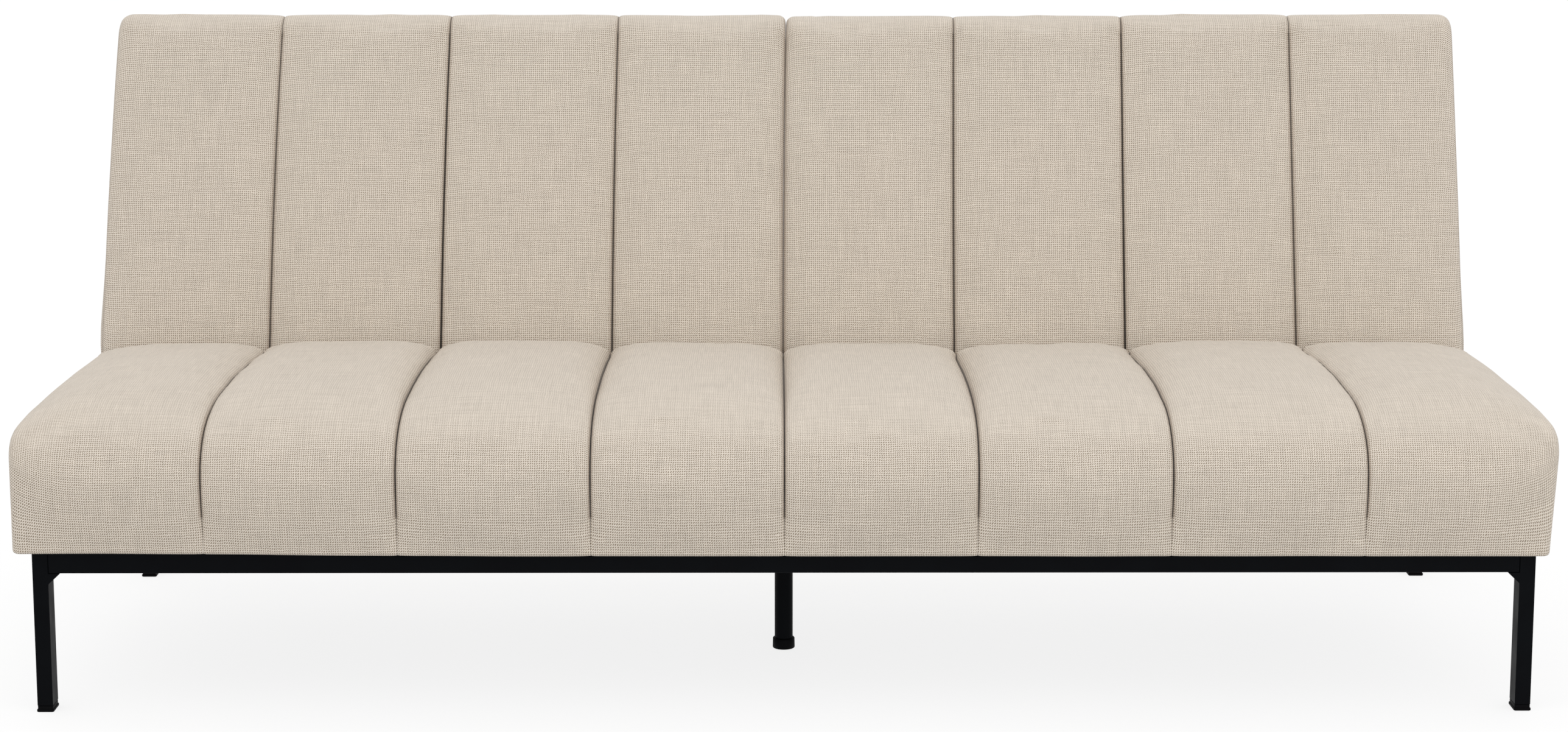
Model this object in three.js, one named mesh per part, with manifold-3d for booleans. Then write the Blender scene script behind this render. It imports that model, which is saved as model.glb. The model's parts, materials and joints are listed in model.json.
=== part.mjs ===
// Click clack sofa bed: a quilted seat on a steel base, and a quilted back in two halves that
// recline by themselves on ratchet hinges. Millimetres, +Z up, +Y to the rear.
// While the parts are made, y = 0 is the seat's foremost crown and z = 0 the floor; at the end
// the whole sofa is centred on its bounding box.
import * as THREE from 'three';
import { mergeVertices } from 'three/addons/utils/BufferGeometryUtils.js';
import Module from 'manifold-3d';

const wasm = await Module();
wasm.setup();

// Clearances
const seatedGap = 0.3;
const hingeGap = 1;
const bearingGap = 0.4;
const cutOverrun = 5;

// Overall
const sofaWidth = 1980;
const channelCount = 8;
const channelPitch = sofaWidth / channelCount;
const railTopHeight = 214;

// Steel base
const tubeWall = 1.5;
const legWidth = 20;
const legDepth = 30;
const legInset = 25;
const frontLegSetback = 33;
const legSpacing = 691;
const railHeight = 30;
const railWidth = 20;
const centreTubeWidth = 30;
const gussetSize = 15;
const glideFlange = 2;
const glideHeight = 8;
const glidePlugLength = 22;
const centreLegDiameter = 25;
const centreLegSetback = 335;
const centreFootWall = 2.5;
const centreFootFloor = 4;
const centreFootHeight = 15;

// Seat
const seatDepth = 563;
const seatCrownHeight = 409;
const seatRearHeight = 397;
const seatRearRadius = 35;
const seatGrooveDepth = 13;
const seatFrontWall = 45;
const seatRearWall = 20;
const seatEndWall = 25;
const seatTopWall = 47;
const seatChamfer = 30;
const seatEndRound = 30;
const seatDrawnDepth = 18;
const seatDrawnHeight = 30;
const seatFrameWidth = 30;
const seatFrameHeight = 45;
const deckThickness = 9;
const dustClothThickness = 1.5;

// Back, measured upright: length from bottom to top, thickness from front to rear
const backLean = THREE.MathUtils.degToRad(22.5);
const backLength = 564;
const backThickness = 125;
const backBulge = 12;
const backHalfGap = 2.5;
const backLowerRadius = 30;
const backFrontTopRadius = 38;
const backRearTopRadius = 22;
const backGrooveDepth = 13;
const backFrontWall = 28;
const backBottomWall = 22;
const backEndWall = 35;
const backOuterRound = 22;
const backInnerRound = 10;
const backDrawnDepth = 12;
const backDrawnHeight = 15;
const rearPanelThickness = 5.4;
const stileWidth = 30;
const stileDepth = 39;
const backRailHeight = 40;

// Fold: where the pivot lies in the back, and where the back's face lies when it is a bed
const bedGap = 6;
const bedHeight = 402;
const pivotRise = 48.2;
const pivotInset = 45.2;

// Hinges
const plateThickness = 5;
const pinRadius = 6;
const pinHeadRadius = 9;
const pinHeadThickness = 3;
const bossRadius = 16;
const postWidth = 32;
const footLength = 100;
const footHeight = 25;
const footLead = 35;
const armBossRadius = 18;
const strapWidth = 30;
const strapStart = 84;
const strapEnd = 260;
const ratchetRadius = 36;
const notchDepth = 6;
const pawlSetback = 30;
const pawlDrop = 56;
const pawlBossRadius = 8;
const pawlStubRadius = 4;
const pawlLever = 10;
const noseTipWidth = 3;
const noseRootWidth = 7;
const noseHeight = 9;
const noseReach = 0.3;
const springEyeRadius = 5;
const springStudRadius = 3;
const springStudDrop = 96;
const springStudLead = 6;
const springThickness = 1.2;
const springTouchShare = 0.55;
const springWidth = 4;
const pocketClearance = 4;
const pocketLength = 92;
const pocketInset = 26;

// The angles that the ratchet holds, in degrees from the sofa pose: each notch spans two of them
const notchAngles = [[10, 0], [-34, -34], [-67.5, -67.5]];
const ratchetEndAngles = [-118, -8];
const noseAngle = -90;
const notchLeadAngle = 10;
const notchTailAngle = 1.5;
const notchFlareAngle = 2.5;

const circleSteps = 24;
const seatBase = railTopHeight + seatedGap;
const seatThickness = seatCrownHeight - seatBase;

// Rings of a cushion across one channel, as shares of half a channel from its middle line
const channelShares = [-1, -0.85, -0.4, 0.4, 0.85];
const crownPower = 2.6;
const endRoundSteps = 3;

// Colours
const fabric = new THREE.MeshStandardMaterial({ color: '#cfc3b1', roughness: 0.95, metalness: 0 });
const rearFabric = new THREE.MeshStandardMaterial({ color: '#c4b7a3', roughness: 0.95, metalness: 0 });
const dustCloth = new THREE.MeshStandardMaterial({ color: '#2b2a29', roughness: 1, metalness: 0 });
const foam = new THREE.MeshStandardMaterial({ color: '#efe3bd', roughness: 1, metalness: 0 });
const wood = new THREE.MeshStandardMaterial({ color: '#c9a878', roughness: 0.8, metalness: 0 });
const blackSteel = new THREE.MeshStandardMaterial({ color: '#1d1f20', roughness: 0.45, metalness: 0.5 });
const zincSteel = new THREE.MeshStandardMaterial({ color: '#a9abab', roughness: 0.4, metalness: 1 });
const springSteel = new THREE.MeshStandardMaterial({ color: '#77797b', roughness: 0.35, metalness: 1 });
const blackPlastic = new THREE.MeshStandardMaterial({ color: '#161616', roughness: 0.6, metalness: 0 });

const sofa = new THREE.Group();
const leftAndRight = [['left', -1], ['right', 1]];

function addPiece(parent, name, geometry, material) {
  const piece = new THREE.Mesh(geometry, material);
  piece.name = name;
  parent.add(piece);
  return piece;
}

// Joins and cuts
function solidOf(geometry) {
  const bare = geometry.clone();
  bare.deleteAttribute('normal');
  bare.deleteAttribute('uv');
  const merged = mergeVertices(bare);
  return new wasm.Manifold(new wasm.Mesh({
    numProp: 3,
    vertProperties: new Float32Array(merged.attributes.position.array),
    triVerts: new Uint32Array(merged.index.array),
  }));
}

function geometryOf(solid) {
  const mesh = solid.getMesh();
  const geometry = new THREE.BufferGeometry();
  geometry.setAttribute('position', new THREE.BufferAttribute(new Float32Array(mesh.vertProperties), 3));
  geometry.setIndex(new THREE.BufferAttribute(new Uint32Array(mesh.triVerts), 1));
  return geometry;
}

function join(geometries) {
  const solids = geometries.map(solidOf);
  return geometryOf(solids.reduce((whole, solid) => whole.add(solid)));
}

function cut(geometry, cutters) {
  return geometryOf(cutters.map(solidOf).reduce((rest, solid) => rest.subtract(solid), solidOf(geometry)));
}

// Plain shapes, each given by its lowest and highest x, y and z
function box(x, y, z) {
  const geometry = new THREE.BoxGeometry(x[1] - x[0], y[1] - y[0], z[1] - z[0]);
  return geometry.translate((x[0] + x[1]) / 2, (y[0] + y[1]) / 2, (z[0] + z[1]) / 2);
}

// A range along x on one side of the sofa, from distances to the middle plane
function sideRange(sign, inner, outer) {
  return sign > 0 ? [inner, outer] : [-outer, -inner];
}

// A plate: an outline in (y, z), as thick as the range along x
function plate(x, points) {
  const shape = new THREE.Shape(points.map(([y, z]) => new THREE.Vector2(y, z)));
  const geometry = new THREE.ExtrudeGeometry(shape, { depth: x[1] - x[0], bevelEnabled: false });
  const axes = new THREE.Matrix4().makeBasis(
    new THREE.Vector3(0, 1, 0),
    new THREE.Vector3(0, 0, 1),
    new THREE.Vector3(1, 0, 0),
  );
  return geometry.applyMatrix4(axes).translate(x[0], 0, 0);
}

function circlePoints(centre, radius) {
  const points = [];
  for (let i = 0; i < circleSteps; i++) {
    const angle = (2 * Math.PI * i) / circleSteps;
    points.push([centre[0] + radius * Math.cos(angle), centre[1] + radius * Math.sin(angle)]);
  }
  return points;
}

function disc(x, centre, radius) {
  return plate(x, circlePoints(centre, radius));
}

// A flat bar between two points of the (y, z) plane
function bar(x, start, end, width) {
  const length = Math.hypot(end[0] - start[0], end[1] - start[1]);
  const across = [(-(end[1] - start[1]) / length) * width / 2, ((end[0] - start[0]) / length) * width / 2];
  return plate(x, [
    [start[0] - across[0], start[1] - across[1]],
    [end[0] - across[0], end[1] - across[1]],
    [end[0] + across[0], end[1] + across[1]],
    [start[0] + across[0], start[1] + across[1]],
  ]);
}

// An outline is walked anticlockwise in a (depth, height) plane, as a list of curves. Each curve
// has its number of steps and how deep the sewn grooves are at its start and its end, as shares.
function walkOutline(stretches) {
  const points = [];
  for (const { curve, steps, grooveShares } of stretches) {
    for (let i = 0; i < steps; i++) {
      const point = curve.getPoint(i / steps);
      points.push({
        y: point.x,
        z: point.y,
        grooveShare: THREE.MathUtils.lerp(grooveShares[0], grooveShares[1], i / steps),
      });
    }
  }
  const count = points.length;
  points.forEach((point, i) => {
    const before = points[(i + count - 1) % count];
    const after = points[(i + 1) % count];
    const length = Math.hypot(after.y - before.y, after.z - before.z);
    point.outY = (after.z - before.z) / length;
    point.outZ = -(after.y - before.y) / length;
  });
  return points;
}

function line(from, to) {
  return new THREE.LineCurve(new THREE.Vector2(...from), new THREE.Vector2(...to));
}

function bend(from, firstHandle, secondHandle, to) {
  const points = [from, firstHandle, secondHandle, to].map((p) => new THREE.Vector2(...p));
  return new THREE.CubicBezierCurve(...points);
}

function roundCorner(centre, radius, startAngle, endAngle) {
  return new THREE.EllipseCurve(centre[0], centre[1], radius, radius, startAngle, endAngle, false, 0);
}

// How far the cover dips into the groove, from 0 on the channel's middle to 1 on the seam
function dipAt(share) {
  return 1 - Math.pow(1 - Math.pow(Math.abs(share), crownPower), 1 / 2);
}

// The rings of a quilted cushion along x, from its ends, its seams and the size along x of its
// rounded ends: at each ring, how far the grooves dip and how far the end is drawn in
function quiltRings(ends, seams, rounds) {
  const rings = [];
  for (let i = 0; i <= endRoundSteps; i++) {
    const angle = (Math.PI / 2) * (1 - i / endRoundSteps);
    rings.push({ x: ends[0] + rounds[0] * (1 - Math.sin(angle)), dip: 0, drawn: 1 - Math.cos(angle) });
  }
  const edges = [ends[0], ...seams, ends[1]];
  const lastChannel = edges.length - 2;
  for (let c = 0; c <= lastChannel; c++) {
    const middle = (edges[c] + edges[c + 1]) / 2;
    const half = (edges[c + 1] - edges[c]) / 2;
    for (const share of channelShares) {
      const inEnd = (c === 0 && share < 0) || (c === lastChannel && share > 0);
      if (!inEnd) {
        rings.push({ x: middle + share * half, dip: dipAt(share), drawn: 0 });
      }
    }
  }
  for (let i = 0; i <= endRoundSteps; i++) {
    const angle = (Math.PI / 2) * (i / endRoundSteps);
    rings.push({ x: ends[1] - rounds[1] * (1 - Math.sin(angle)), dip: 0, drawn: 1 - Math.cos(angle) });
  }
  return rings;
}

// A cushion: its outline carried through the rings. Grooves move the outline in along its
// normals; drawn ends shrink it towards its middle by drawnDepth and drawnHeight.
function quiltedForm(outline, rings, grooveDepth, core, drawnDepth, drawnHeight) {
  const ys = outline.map((p) => p.y);
  const zs = outline.map((p) => p.z);
  const halfDepth = (Math.max(...ys) - Math.min(...ys)) / 2;
  const halfHeight = Math.max(Math.max(...zs) - core[1], core[1] - Math.min(...zs));
  const positions = [];
  const around = outline.length;
  for (const { x, dip, drawn } of rings) {
    for (const point of outline) {
      const inward = grooveDepth * point.grooveShare * dip;
      const y = point.y - point.outY * inward;
      const z = point.z - point.outZ * inward;
      positions.push(
        x,
        core[0] + (y - core[0]) * (1 - (drawn * drawnDepth) / halfDepth),
        core[1] + (z - core[1]) * (1 - (drawn * drawnHeight) / halfHeight),
      );
    }
  }
  const indices = [];
  for (let r = 0; r < rings.length - 1; r++) {
    for (let i = 0; i < around; i++) {
      const a = r * around + i;
      const b = r * around + ((i + 1) % around);
      indices.push(a, b, a + around, b, b + around, a + around);
    }
  }
  const lastRing = (rings.length - 1) * around;
  const startCentre = positions.length / 3;
  const endCentre = startCentre + 1;
  const capHeight = (Math.max(...zs) + Math.min(...zs)) / 2;
  positions.push(rings[0].x, core[0], capHeight);
  positions.push(rings[rings.length - 1].x, core[0], capHeight);
  for (let i = 0; i < around; i++) {
    const next = (i + 1) % around;
    indices.push(startCentre, next, i);
    indices.push(endCentre, lastRing + i, lastRing + next);
  }
  const geometry = new THREE.BufferGeometry();
  geometry.setAttribute('position', new THREE.BufferAttribute(new Float32Array(positions), 3));
  geometry.setIndex(indices);
  return geometry;
}

// Steel base
const legOuterX = sofaWidth / 2 - legInset;
const legInnerX = legOuterX - legWidth;
const rearLegSetback = frontLegSetback + legSpacing;
const railBottom = railTopHeight - railHeight;
const sideRailInnerX = legOuterX - railWidth;

function makeLeg(sign, frontY) {
  const x = sideRange(sign, legInnerX, legOuterX);
  const y = [frontY, frontY + legDepth];
  const hollow = box(
    [x[0] + tubeWall, x[1] - tubeWall],
    [y[0] + tubeWall, y[1] - tubeWall],
    [0, railTopHeight - tubeWall],
  );
  const gussetTop = railBottom - seatedGap;
  const tip = sign * (legInnerX - gussetSize);
  const corner = sign * (legInnerX + tubeWall / 2);
  const shape = new THREE.Shape([
    new THREE.Vector2(corner, gussetTop),
    new THREE.Vector2(tip, gussetTop),
    new THREE.Vector2(corner, gussetTop - gussetSize),
  ]);
  const rearLeg = frontY > frontLegSetback;
  const gussetFront = rearLeg ? frontY + legDepth - railWidth : frontY;
  const gusset = new THREE.ExtrudeGeometry(shape, { depth: railWidth, bevelEnabled: false });
  gusset.applyMatrix4(new THREE.Matrix4().makeBasis(
    new THREE.Vector3(1, 0, 0),
    new THREE.Vector3(0, 0, 1),
    new THREE.Vector3(0, -1, 0),
  )).translate(0, gussetFront + railWidth, 0);
  const tube = box(x, y, [glideHeight + seatedGap, railTopHeight]);
  return cut(join([tube, gusset]), [hollow]);
}

function makeGlide(sign, frontY) {
  const x = sideRange(sign, legInnerX, legOuterX);
  const inside = tubeWall + seatedGap;
  const flange = box(
    [x[0] - glideFlange, x[1] + glideFlange],
    [frontY - glideFlange, frontY + legDepth + glideFlange],
    [0, glideHeight],
  );
  const plug = box(
    [x[0] + inside, x[1] - inside],
    [frontY + inside, frontY + legDepth - inside],
    [glideHeight / 2, glideHeight + glidePlugLength],
  );
  return join([flange, plug]);
}

for (const [endName, frontY] of [['front', frontLegSetback], ['rear', rearLegSetback]]) {
  for (const [sideName, sign] of leftAndRight) {
    addPiece(sofa, `leg_${endName}_${sideName}`, makeLeg(sign, frontY), blackSteel);
    addPiece(sofa, `glide_${endName}_${sideName}`, makeGlide(sign, frontY), blackPlastic);
  }
}

// A rectangular tube, open at both ends of its length: 0 is along x and 1 along y
function openTube(x, y, z, lengthAxis) {
  const bore = [x, y, z].map((range, axis) => (
    axis === lengthAxis
      ? [range[0] - cutOverrun, range[1] + cutOverrun]
      : [range[0] + tubeWall, range[1] - tubeWall]
  ));
  return cut(box(x, y, z), [box(...bore)]);
}

const railZ = [railBottom, railTopHeight];
const crossRailX = [-legInnerX + seatedGap, legInnerX - seatedGap];
const frontRailY = [frontLegSetback, frontLegSetback + railWidth];
const rearRailY = [rearLegSetback + legDepth - railWidth, rearLegSetback + legDepth];
addPiece(sofa, 'rail_front', openTube(crossRailX, frontRailY, railZ, 0), blackSteel);
addPiece(sofa, 'rail_rear', openTube(crossRailX, rearRailY, railZ, 0), blackSteel);
for (const [sideName, sign] of leftAndRight) {
  const y = [frontLegSetback + legDepth + seatedGap, rearLegSetback - seatedGap];
  const rail = openTube(sideRange(sign, sideRailInnerX, legOuterX), y, railZ, 1);
  addPiece(sofa, `rail_${sideName}`, rail, blackSteel);
}
const centreTubeX = [-centreTubeWidth / 2, centreTubeWidth / 2];
const centreTubeY = [frontRailY[1] + seatedGap, rearRailY[0] - seatedGap];
addPiece(sofa, 'centre_tube', openTube(centreTubeX, centreTubeY, railZ, 1), blackSteel);

// Centre leg: a round tube under the centre tube, standing in a cup-shaped foot
function upright(radius, z) {
  const height = z[1] - z[0];
  const cylinder = new THREE.CylinderGeometry(radius, radius, height, circleSteps);
  return cylinder.rotateX(Math.PI / 2).translate(0, centreLegSetback, z[0] + height / 2);
}
const centreLegRadius = centreLegDiameter / 2;
const centreLegZ = [centreFootFloor + seatedGap, railBottom - seatedGap];
const centreLegBore = upright(centreLegRadius - tubeWall, [0, centreLegZ[1] - tubeWall]);
const centreLeg = cut(upright(centreLegRadius, centreLegZ), [centreLegBore]);
addPiece(sofa, 'centre_leg', centreLeg, blackSteel);
const centreFoot = cut(
  upright(centreLegRadius + seatedGap + centreFootWall, [0, centreFootHeight]),
  [upright(centreLegRadius + seatedGap, [centreFootFloor, centreFootHeight + cutOverrun])],
);
addPiece(sofa, 'centre_leg_foot', centreFoot, blackPlastic);

// Seat: the outline of its crowns, from the rear bottom corner up, forward and down. Points are
// shares of the seat's depth and thickness.
const noseTopShares = [0.236, 0.967];
const topHandleShares = [[0.7, 1.005], [0.432, 1.02]];
const noseHandleShares = [[0.121, 0.928], [0, 0.81]];
const noseEndShares = [0, 0.467];
const frontHandleShares = [[0, 0.3], [0.025, 0.17]];
const frontEndShares = [0.037, 0.041];
const lipShares = [[0.038, 0.015], [0.042, 0]];
const lipEndShares = [0.052, 0];

function seatPoint([depthShare, heightShare]) {
  return [depthShare * seatDepth, seatBase + heightShare * seatThickness];
}

const seatShoulder = [seatDepth - seatRearRadius, seatRearHeight - seatRearRadius];
const seatOutline = walkOutline([
  {
    curve: line([seatDepth, seatBase], [seatDepth, seatShoulder[1]]),
    steps: 2,
    grooveShares: [0, 0.5],
  },
  { curve: roundCorner(seatShoulder, seatRearRadius, 0, Math.PI / 2), steps: 3, grooveShares: [0.5, 1] },
  {
    curve: bend(
      [seatShoulder[0], seatRearHeight],
      ...topHandleShares.map(seatPoint),
      seatPoint(noseTopShares),
    ),
    steps: 5,
    grooveShares: [1, 1],
  },
  {
    curve: bend(seatPoint(noseTopShares), ...noseHandleShares.map(seatPoint), seatPoint(noseEndShares)),
    steps: 7,
    grooveShares: [1, 1],
  },
  {
    curve: bend(seatPoint(noseEndShares), ...frontHandleShares.map(seatPoint), seatPoint(frontEndShares)),
    steps: 4,
    grooveShares: [1, 0.1],
  },
  {
    curve: bend(seatPoint(frontEndShares), ...lipShares.map(seatPoint), seatPoint(lipEndShares)),
    steps: 2,
    grooveShares: [0.1, 0],
  },
  { curve: line(seatPoint(lipEndShares), [seatDepth, seatBase]), steps: 1, grooveShares: [0, 0] },
]);

const seatSeams = [];
for (let c = 1; c < channelCount; c++) {
  seatSeams.push(c * channelPitch - sofaWidth / 2);
}
const seatRings = quiltRings([-sofaWidth / 2, sofaWidth / 2], seatSeams, [seatEndRound, seatEndRound]);
const seatForm = quiltedForm(
  seatOutline,
  seatRings,
  seatGrooveDepth,
  [seatDepth / 2, seatBase],
  seatDrawnDepth,
  seatDrawnHeight,
);

// From the bottom: dust cloth, frame, deck and foam, in the hollow inside the seat's cover
const dustClothZ = [seatBase + seatedGap, seatBase + seatedGap + dustClothThickness];
const seatFrameZ = [dustClothZ[1] + seatedGap, dustClothZ[1] + seatedGap + seatFrameHeight];
const deckZ = [seatFrameZ[1] + seatedGap, seatFrameZ[1] + seatedGap + deckThickness];
const foamHeight = seatCrownHeight - seatTopWall - deckZ[1];
const foamChamfer = Math.min(seatChamfer, foamHeight / 2);

function seatHollow(gap) {
  const front = seatFrontWall + gap;
  const rear = seatDepth - seatRearWall - gap;
  const top = seatCrownHeight - seatTopWall - gap;
  return { front, rear, top };
}

function seatBlock(gap, bottom) {
  const { front, rear, top } = seatHollow(gap);
  const halfWidth = sofaWidth / 2 - seatEndWall - gap;
  return plate([-halfWidth, halfWidth], [
    [rear, bottom],
    [rear, top],
    [front + foamChamfer, top],
    [front, top - foamChamfer],
    [front, bottom],
  ]);
}

const inside = seatHollow(seatedGap);
const insideX = sofaWidth / 2 - seatEndWall - seatedGap;
addPiece(sofa, 'seat_cover', cut(seatForm, [seatBlock(0, seatBase - cutOverrun)]), fabric);
addPiece(sofa, 'seat_foam', seatBlock(seatedGap, deckZ[1] + seatedGap), foam);
const fullX = [-insideX, insideX];
addPiece(sofa, 'seat_dust_cloth', box(fullX, [inside.front, inside.rear], dustClothZ), dustCloth);
addPiece(sofa, 'seat_deck', box(fullX, [inside.front, inside.rear], deckZ), wood);
const frontMemberY = [inside.front, inside.front + seatFrameWidth];
const rearMemberY = [inside.rear - seatFrameWidth, inside.rear];
const crossMemberY = [frontMemberY[1] + seatedGap, rearMemberY[0] - seatedGap];
addPiece(sofa, 'seat_frame_front', box(fullX, frontMemberY, seatFrameZ), wood);
addPiece(sofa, 'seat_frame_rear', box(fullX, rearMemberY, seatFrameZ), wood);
addPiece(sofa, 'seat_frame_middle', box(
  [-seatFrameWidth / 2, seatFrameWidth / 2],
  crossMemberY,
  seatFrameZ,
), wood);
for (const [sideName, sign] of leftAndRight) {
  const x = sideRange(sign, insideX - seatFrameWidth, insideX);
  addPiece(sofa, `seat_frame_${sideName}`, box(x, crossMemberY, seatFrameZ), wood);
}

// Where the back lies. Its own frame has y from the front crown to the rear and z from its
// bottom to its top; the pivot is held by the pose in which it is a bed.
const sinLean = Math.sin(backLean);
const cosLean = Math.cos(backLean);
const pivot = [seatDepth + bedGap + pivotRise, bedHeight - pivotInset];
const backCorner = [
  pivot[0] - pivotRise * sinLean - pivotInset * cosLean,
  pivot[1] - pivotRise * cosLean + pivotInset * sinLean,
];
const back = new THREE.Group();
back.position.set(0, backCorner[0], backCorner[1]);
back.rotation.x = -backLean;
sofa.add(back);
const pivotInBack = [pivotInset, pivotRise];

// Back: its outline, from the rear bottom corner up, forward over the top and down
const backBulgeHandle = backBulge * 4 / 3;
const backOutline = walkOutline([
  {
    curve: line([backThickness, 0], [backThickness, backLength - backRearTopRadius]),
    steps: 2,
    grooveShares: [0, 0],
  },
  {
    curve: roundCorner(
      [backThickness - backRearTopRadius, backLength - backRearTopRadius],
      backRearTopRadius,
      0,
      Math.PI / 2,
    ),
    steps: 4,
    grooveShares: [0, 0.3],
  },
  {
    curve: line(
      [backThickness - backRearTopRadius, backLength],
      [backFrontTopRadius, backLength],
    ),
    steps: 3,
    grooveShares: [0.3, 0.5],
  },
  {
    curve: roundCorner(
      [backFrontTopRadius, backLength - backFrontTopRadius],
      backFrontTopRadius,
      Math.PI / 2,
      Math.PI,
    ),
    steps: 6,
    grooveShares: [0.5, 1],
  },
  {
    curve: bend(
      [0, backLength - backFrontTopRadius],
      [-backBulgeHandle, backLength * 2 / 3],
      [-backBulgeHandle, backLength / 3],
      [0, backLowerRadius],
    ),
    steps: 9,
    grooveShares: [1, 1],
  },
  {
    curve: roundCorner([backLowerRadius, backLowerRadius], backLowerRadius, Math.PI, Math.PI * 3 / 2),
    steps: 4,
    grooveShares: [1, 0.4],
  },
  { curve: line([backLowerRadius, 0], [backThickness, 0]), steps: 3, grooveShares: [0.4, 0] },
]);

const backSpan = sofaWidth / 2;
const stileRear = backThickness - rearPanelThickness - 2 * seatedGap;
const stileY = [stileRear - stileDepth, stileRear];

// Hinges: distances from the steel face that a fixed arm is bolted to
const fixedArmSpan = [seatedGap, seatedGap + plateThickness];
const backArmSpan = [fixedArmSpan[1] + hingeGap, fixedArmSpan[1] + hingeGap + plateThickness];
const pinSpan = [0, backArmSpan[1] + seatedGap];
const stileSpan = [pinSpan[1], pinSpan[1] + stileWidth];
const pocketSpan = [-pocketClearance, pinSpan[1] + pocketClearance];
const mountFaces = [['outer', sideRailInnerX, -1], ['inner', centreTubeWidth / 2, 1]];

// A hinge's range along x: side of the sofa, mounting face, which way its pieces stack
function stackRange(sign, face, direction, span) {
  const ends = [face + direction * span[0], face + direction * span[1]];
  return sideRange(sign, Math.min(...ends), Math.max(...ends));
}

function hingePockets(sign) {
  return mountFaces.map(([, face, direction]) => box(
    stackRange(sign, face, direction, pocketSpan),
    [pocketInset, backThickness + cutOverrun],
    [-cutOverrun, pocketLength],
  ));
}

function makeBackHalf(sideName, sign) {
  const rounds = sign > 0 ? [backInnerRound, backOuterRound] : [backOuterRound, backInnerRound];
  const seams = seatSeams.filter((x) => x * sign > 0);
  const rings = quiltRings(sideRange(sign, backHalfGap / 2, backSpan), seams, rounds);
  const form = quiltedForm(
    backOutline,
    rings,
    backGrooveDepth,
    [backThickness / 2, backLength / 2],
    backDrawnDepth,
    backDrawnHeight,
  );
  const innerWall = centreTubeWidth / 2 - pocketClearance;
  const rim = [innerWall, backSpan - backEndWall];
  const hollowZ = [backBottomWall, backLength - backBottomWall];
  const hollow = box(
    sideRange(sign, ...rim),
    [backFrontWall, backThickness + cutOverrun],
    hollowZ,
  );
  const pockets = hingePockets(sign);
  const within = sideRange(sign, rim[0] + seatedGap, rim[1] - seatedGap);
  const withinZ = [hollowZ[0] + seatedGap, hollowZ[1] - seatedGap];
  const foamBlock = box(within, [backFrontWall + seatedGap, stileY[0] - seatedGap], withinZ);
  const panelY = [backThickness - rearPanelThickness - seatedGap, backThickness - seatedGap];
  const panel = box(within, panelY, withinZ);
  addPiece(back, `back_cover_${sideName}`, cut(form, [hollow, ...pockets]), fabric);
  addPiece(back, `back_foam_${sideName}`, cut(foamBlock, pockets), foam);
  addPiece(back, `back_rear_panel_${sideName}`, cut(panel, pockets), rearFabric);
  for (const [place, face, direction] of mountFaces) {
    const stile = box(stackRange(sign, face, direction, stileSpan), stileY, withinZ);
    addPiece(back, `back_stile_${place}_${sideName}`, stile, wood);
  }
  const stiles = mountFaces.map(([, face, direction]) => face + direction * stileSpan[1]);
  const railX = sideRange(sign, Math.min(...stiles) + seatedGap, Math.max(...stiles) - seatedGap);
  const lowerZ = [withinZ[0], withinZ[0] + backRailHeight];
  const upperZ = [withinZ[1] - backRailHeight, withinZ[1]];
  addPiece(back, `back_rail_lower_${sideName}`, box(railX, stileY, lowerZ), wood);
  addPiece(back, `back_rail_upper_${sideName}`, box(railX, stileY, upperZ), wood);
}

for (const [sideName, sign] of leftAndRight) {
  makeBackHalf(sideName, sign);
}

// Back arm, in the back's frame: a boss on the pin, a ratchet sector and a strap on the stile
function ratchetOutline() {
  const angles = [];
  const root = ratchetRadius - notchDepth;
  angles.push([ratchetEndAngles[0], ratchetRadius]);
  for (const [furthest, nearest] of notchAngles) {
    const start = noseAngle - furthest - notchLeadAngle;
    const end = noseAngle - nearest + notchTailAngle;
    angles.push([start - notchFlareAngle, ratchetRadius], [start, root]);
    angles.push([end, root], [end + notchFlareAngle, ratchetRadius]);
  }
  angles.push([ratchetEndAngles[1], ratchetRadius]);
  const leanDegrees = THREE.MathUtils.radToDeg(backLean);
  const points = angles.map(([degrees, radius]) => {
    const angle = THREE.MathUtils.degToRad(degrees + leanDegrees);
    return [pivotInBack[0] + radius * Math.cos(angle), pivotInBack[1] + radius * Math.sin(angle)];
  });
  points.push(pivotInBack);
  return points;
}

function makeBackArm(x) {
  const strapMiddle = (stileY[0] + stileY[1]) / 2;
  const strapY = [strapMiddle - strapWidth / 2, strapMiddle + strapWidth / 2];
  const strap = box(x, strapY, [strapStart, strapEnd]);
  const web = bar(x, pivotInBack, [strapMiddle, strapStart], strapWidth);
  const solid = join([
    disc(x, pivotInBack, armBossRadius),
    plate(x, ratchetOutline()),
    web,
    strap,
  ]);
  const hole = disc([x[0] - cutOverrun, x[1] + cutOverrun], pivotInBack, pinRadius + bearingGap);
  return cut(solid, [hole]);
}

// Fixed arm, in the sofa's frame: a foot on the steel, a post up to the pin, a boss for the
// pawl and a stud for its spring
const pawlPivot = [pivot[0] - pawlSetback, pivot[1] - pawlDrop];
const springStud = [pivot[0] + springStudLead, pivot[1] - springStudDrop];
const footZ = [railTopHeight - footHeight - seatedGap, railTopHeight - seatedGap];

function makeFixedArm(x, studX) {
  const solid = join([
    disc(x, pivot, bossRadius),
    box(x, [pivot[0] - postWidth / 2, pivot[0] + postWidth / 2], [footZ[0], pivot[1]]),
    box(x, [pivot[0] - footLead, pivot[0] - footLead + footLength], footZ),
    disc(x, pawlPivot, pawlBossRadius),
    bar(x, pawlPivot, [pivot[0], pawlPivot[1] - pawlSetback / 2], 2 * pawlBossRadius),
    disc(studX, springStud, springStudRadius),
  ]);
  const overX = [x[0] - cutOverrun, x[1] + cutOverrun];
  return cut(solid, [
    disc(overX, pivot, pinRadius + bearingGap),
    disc(overX, pawlPivot, pawlStubRadius + bearingGap),
  ]);
}

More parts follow.
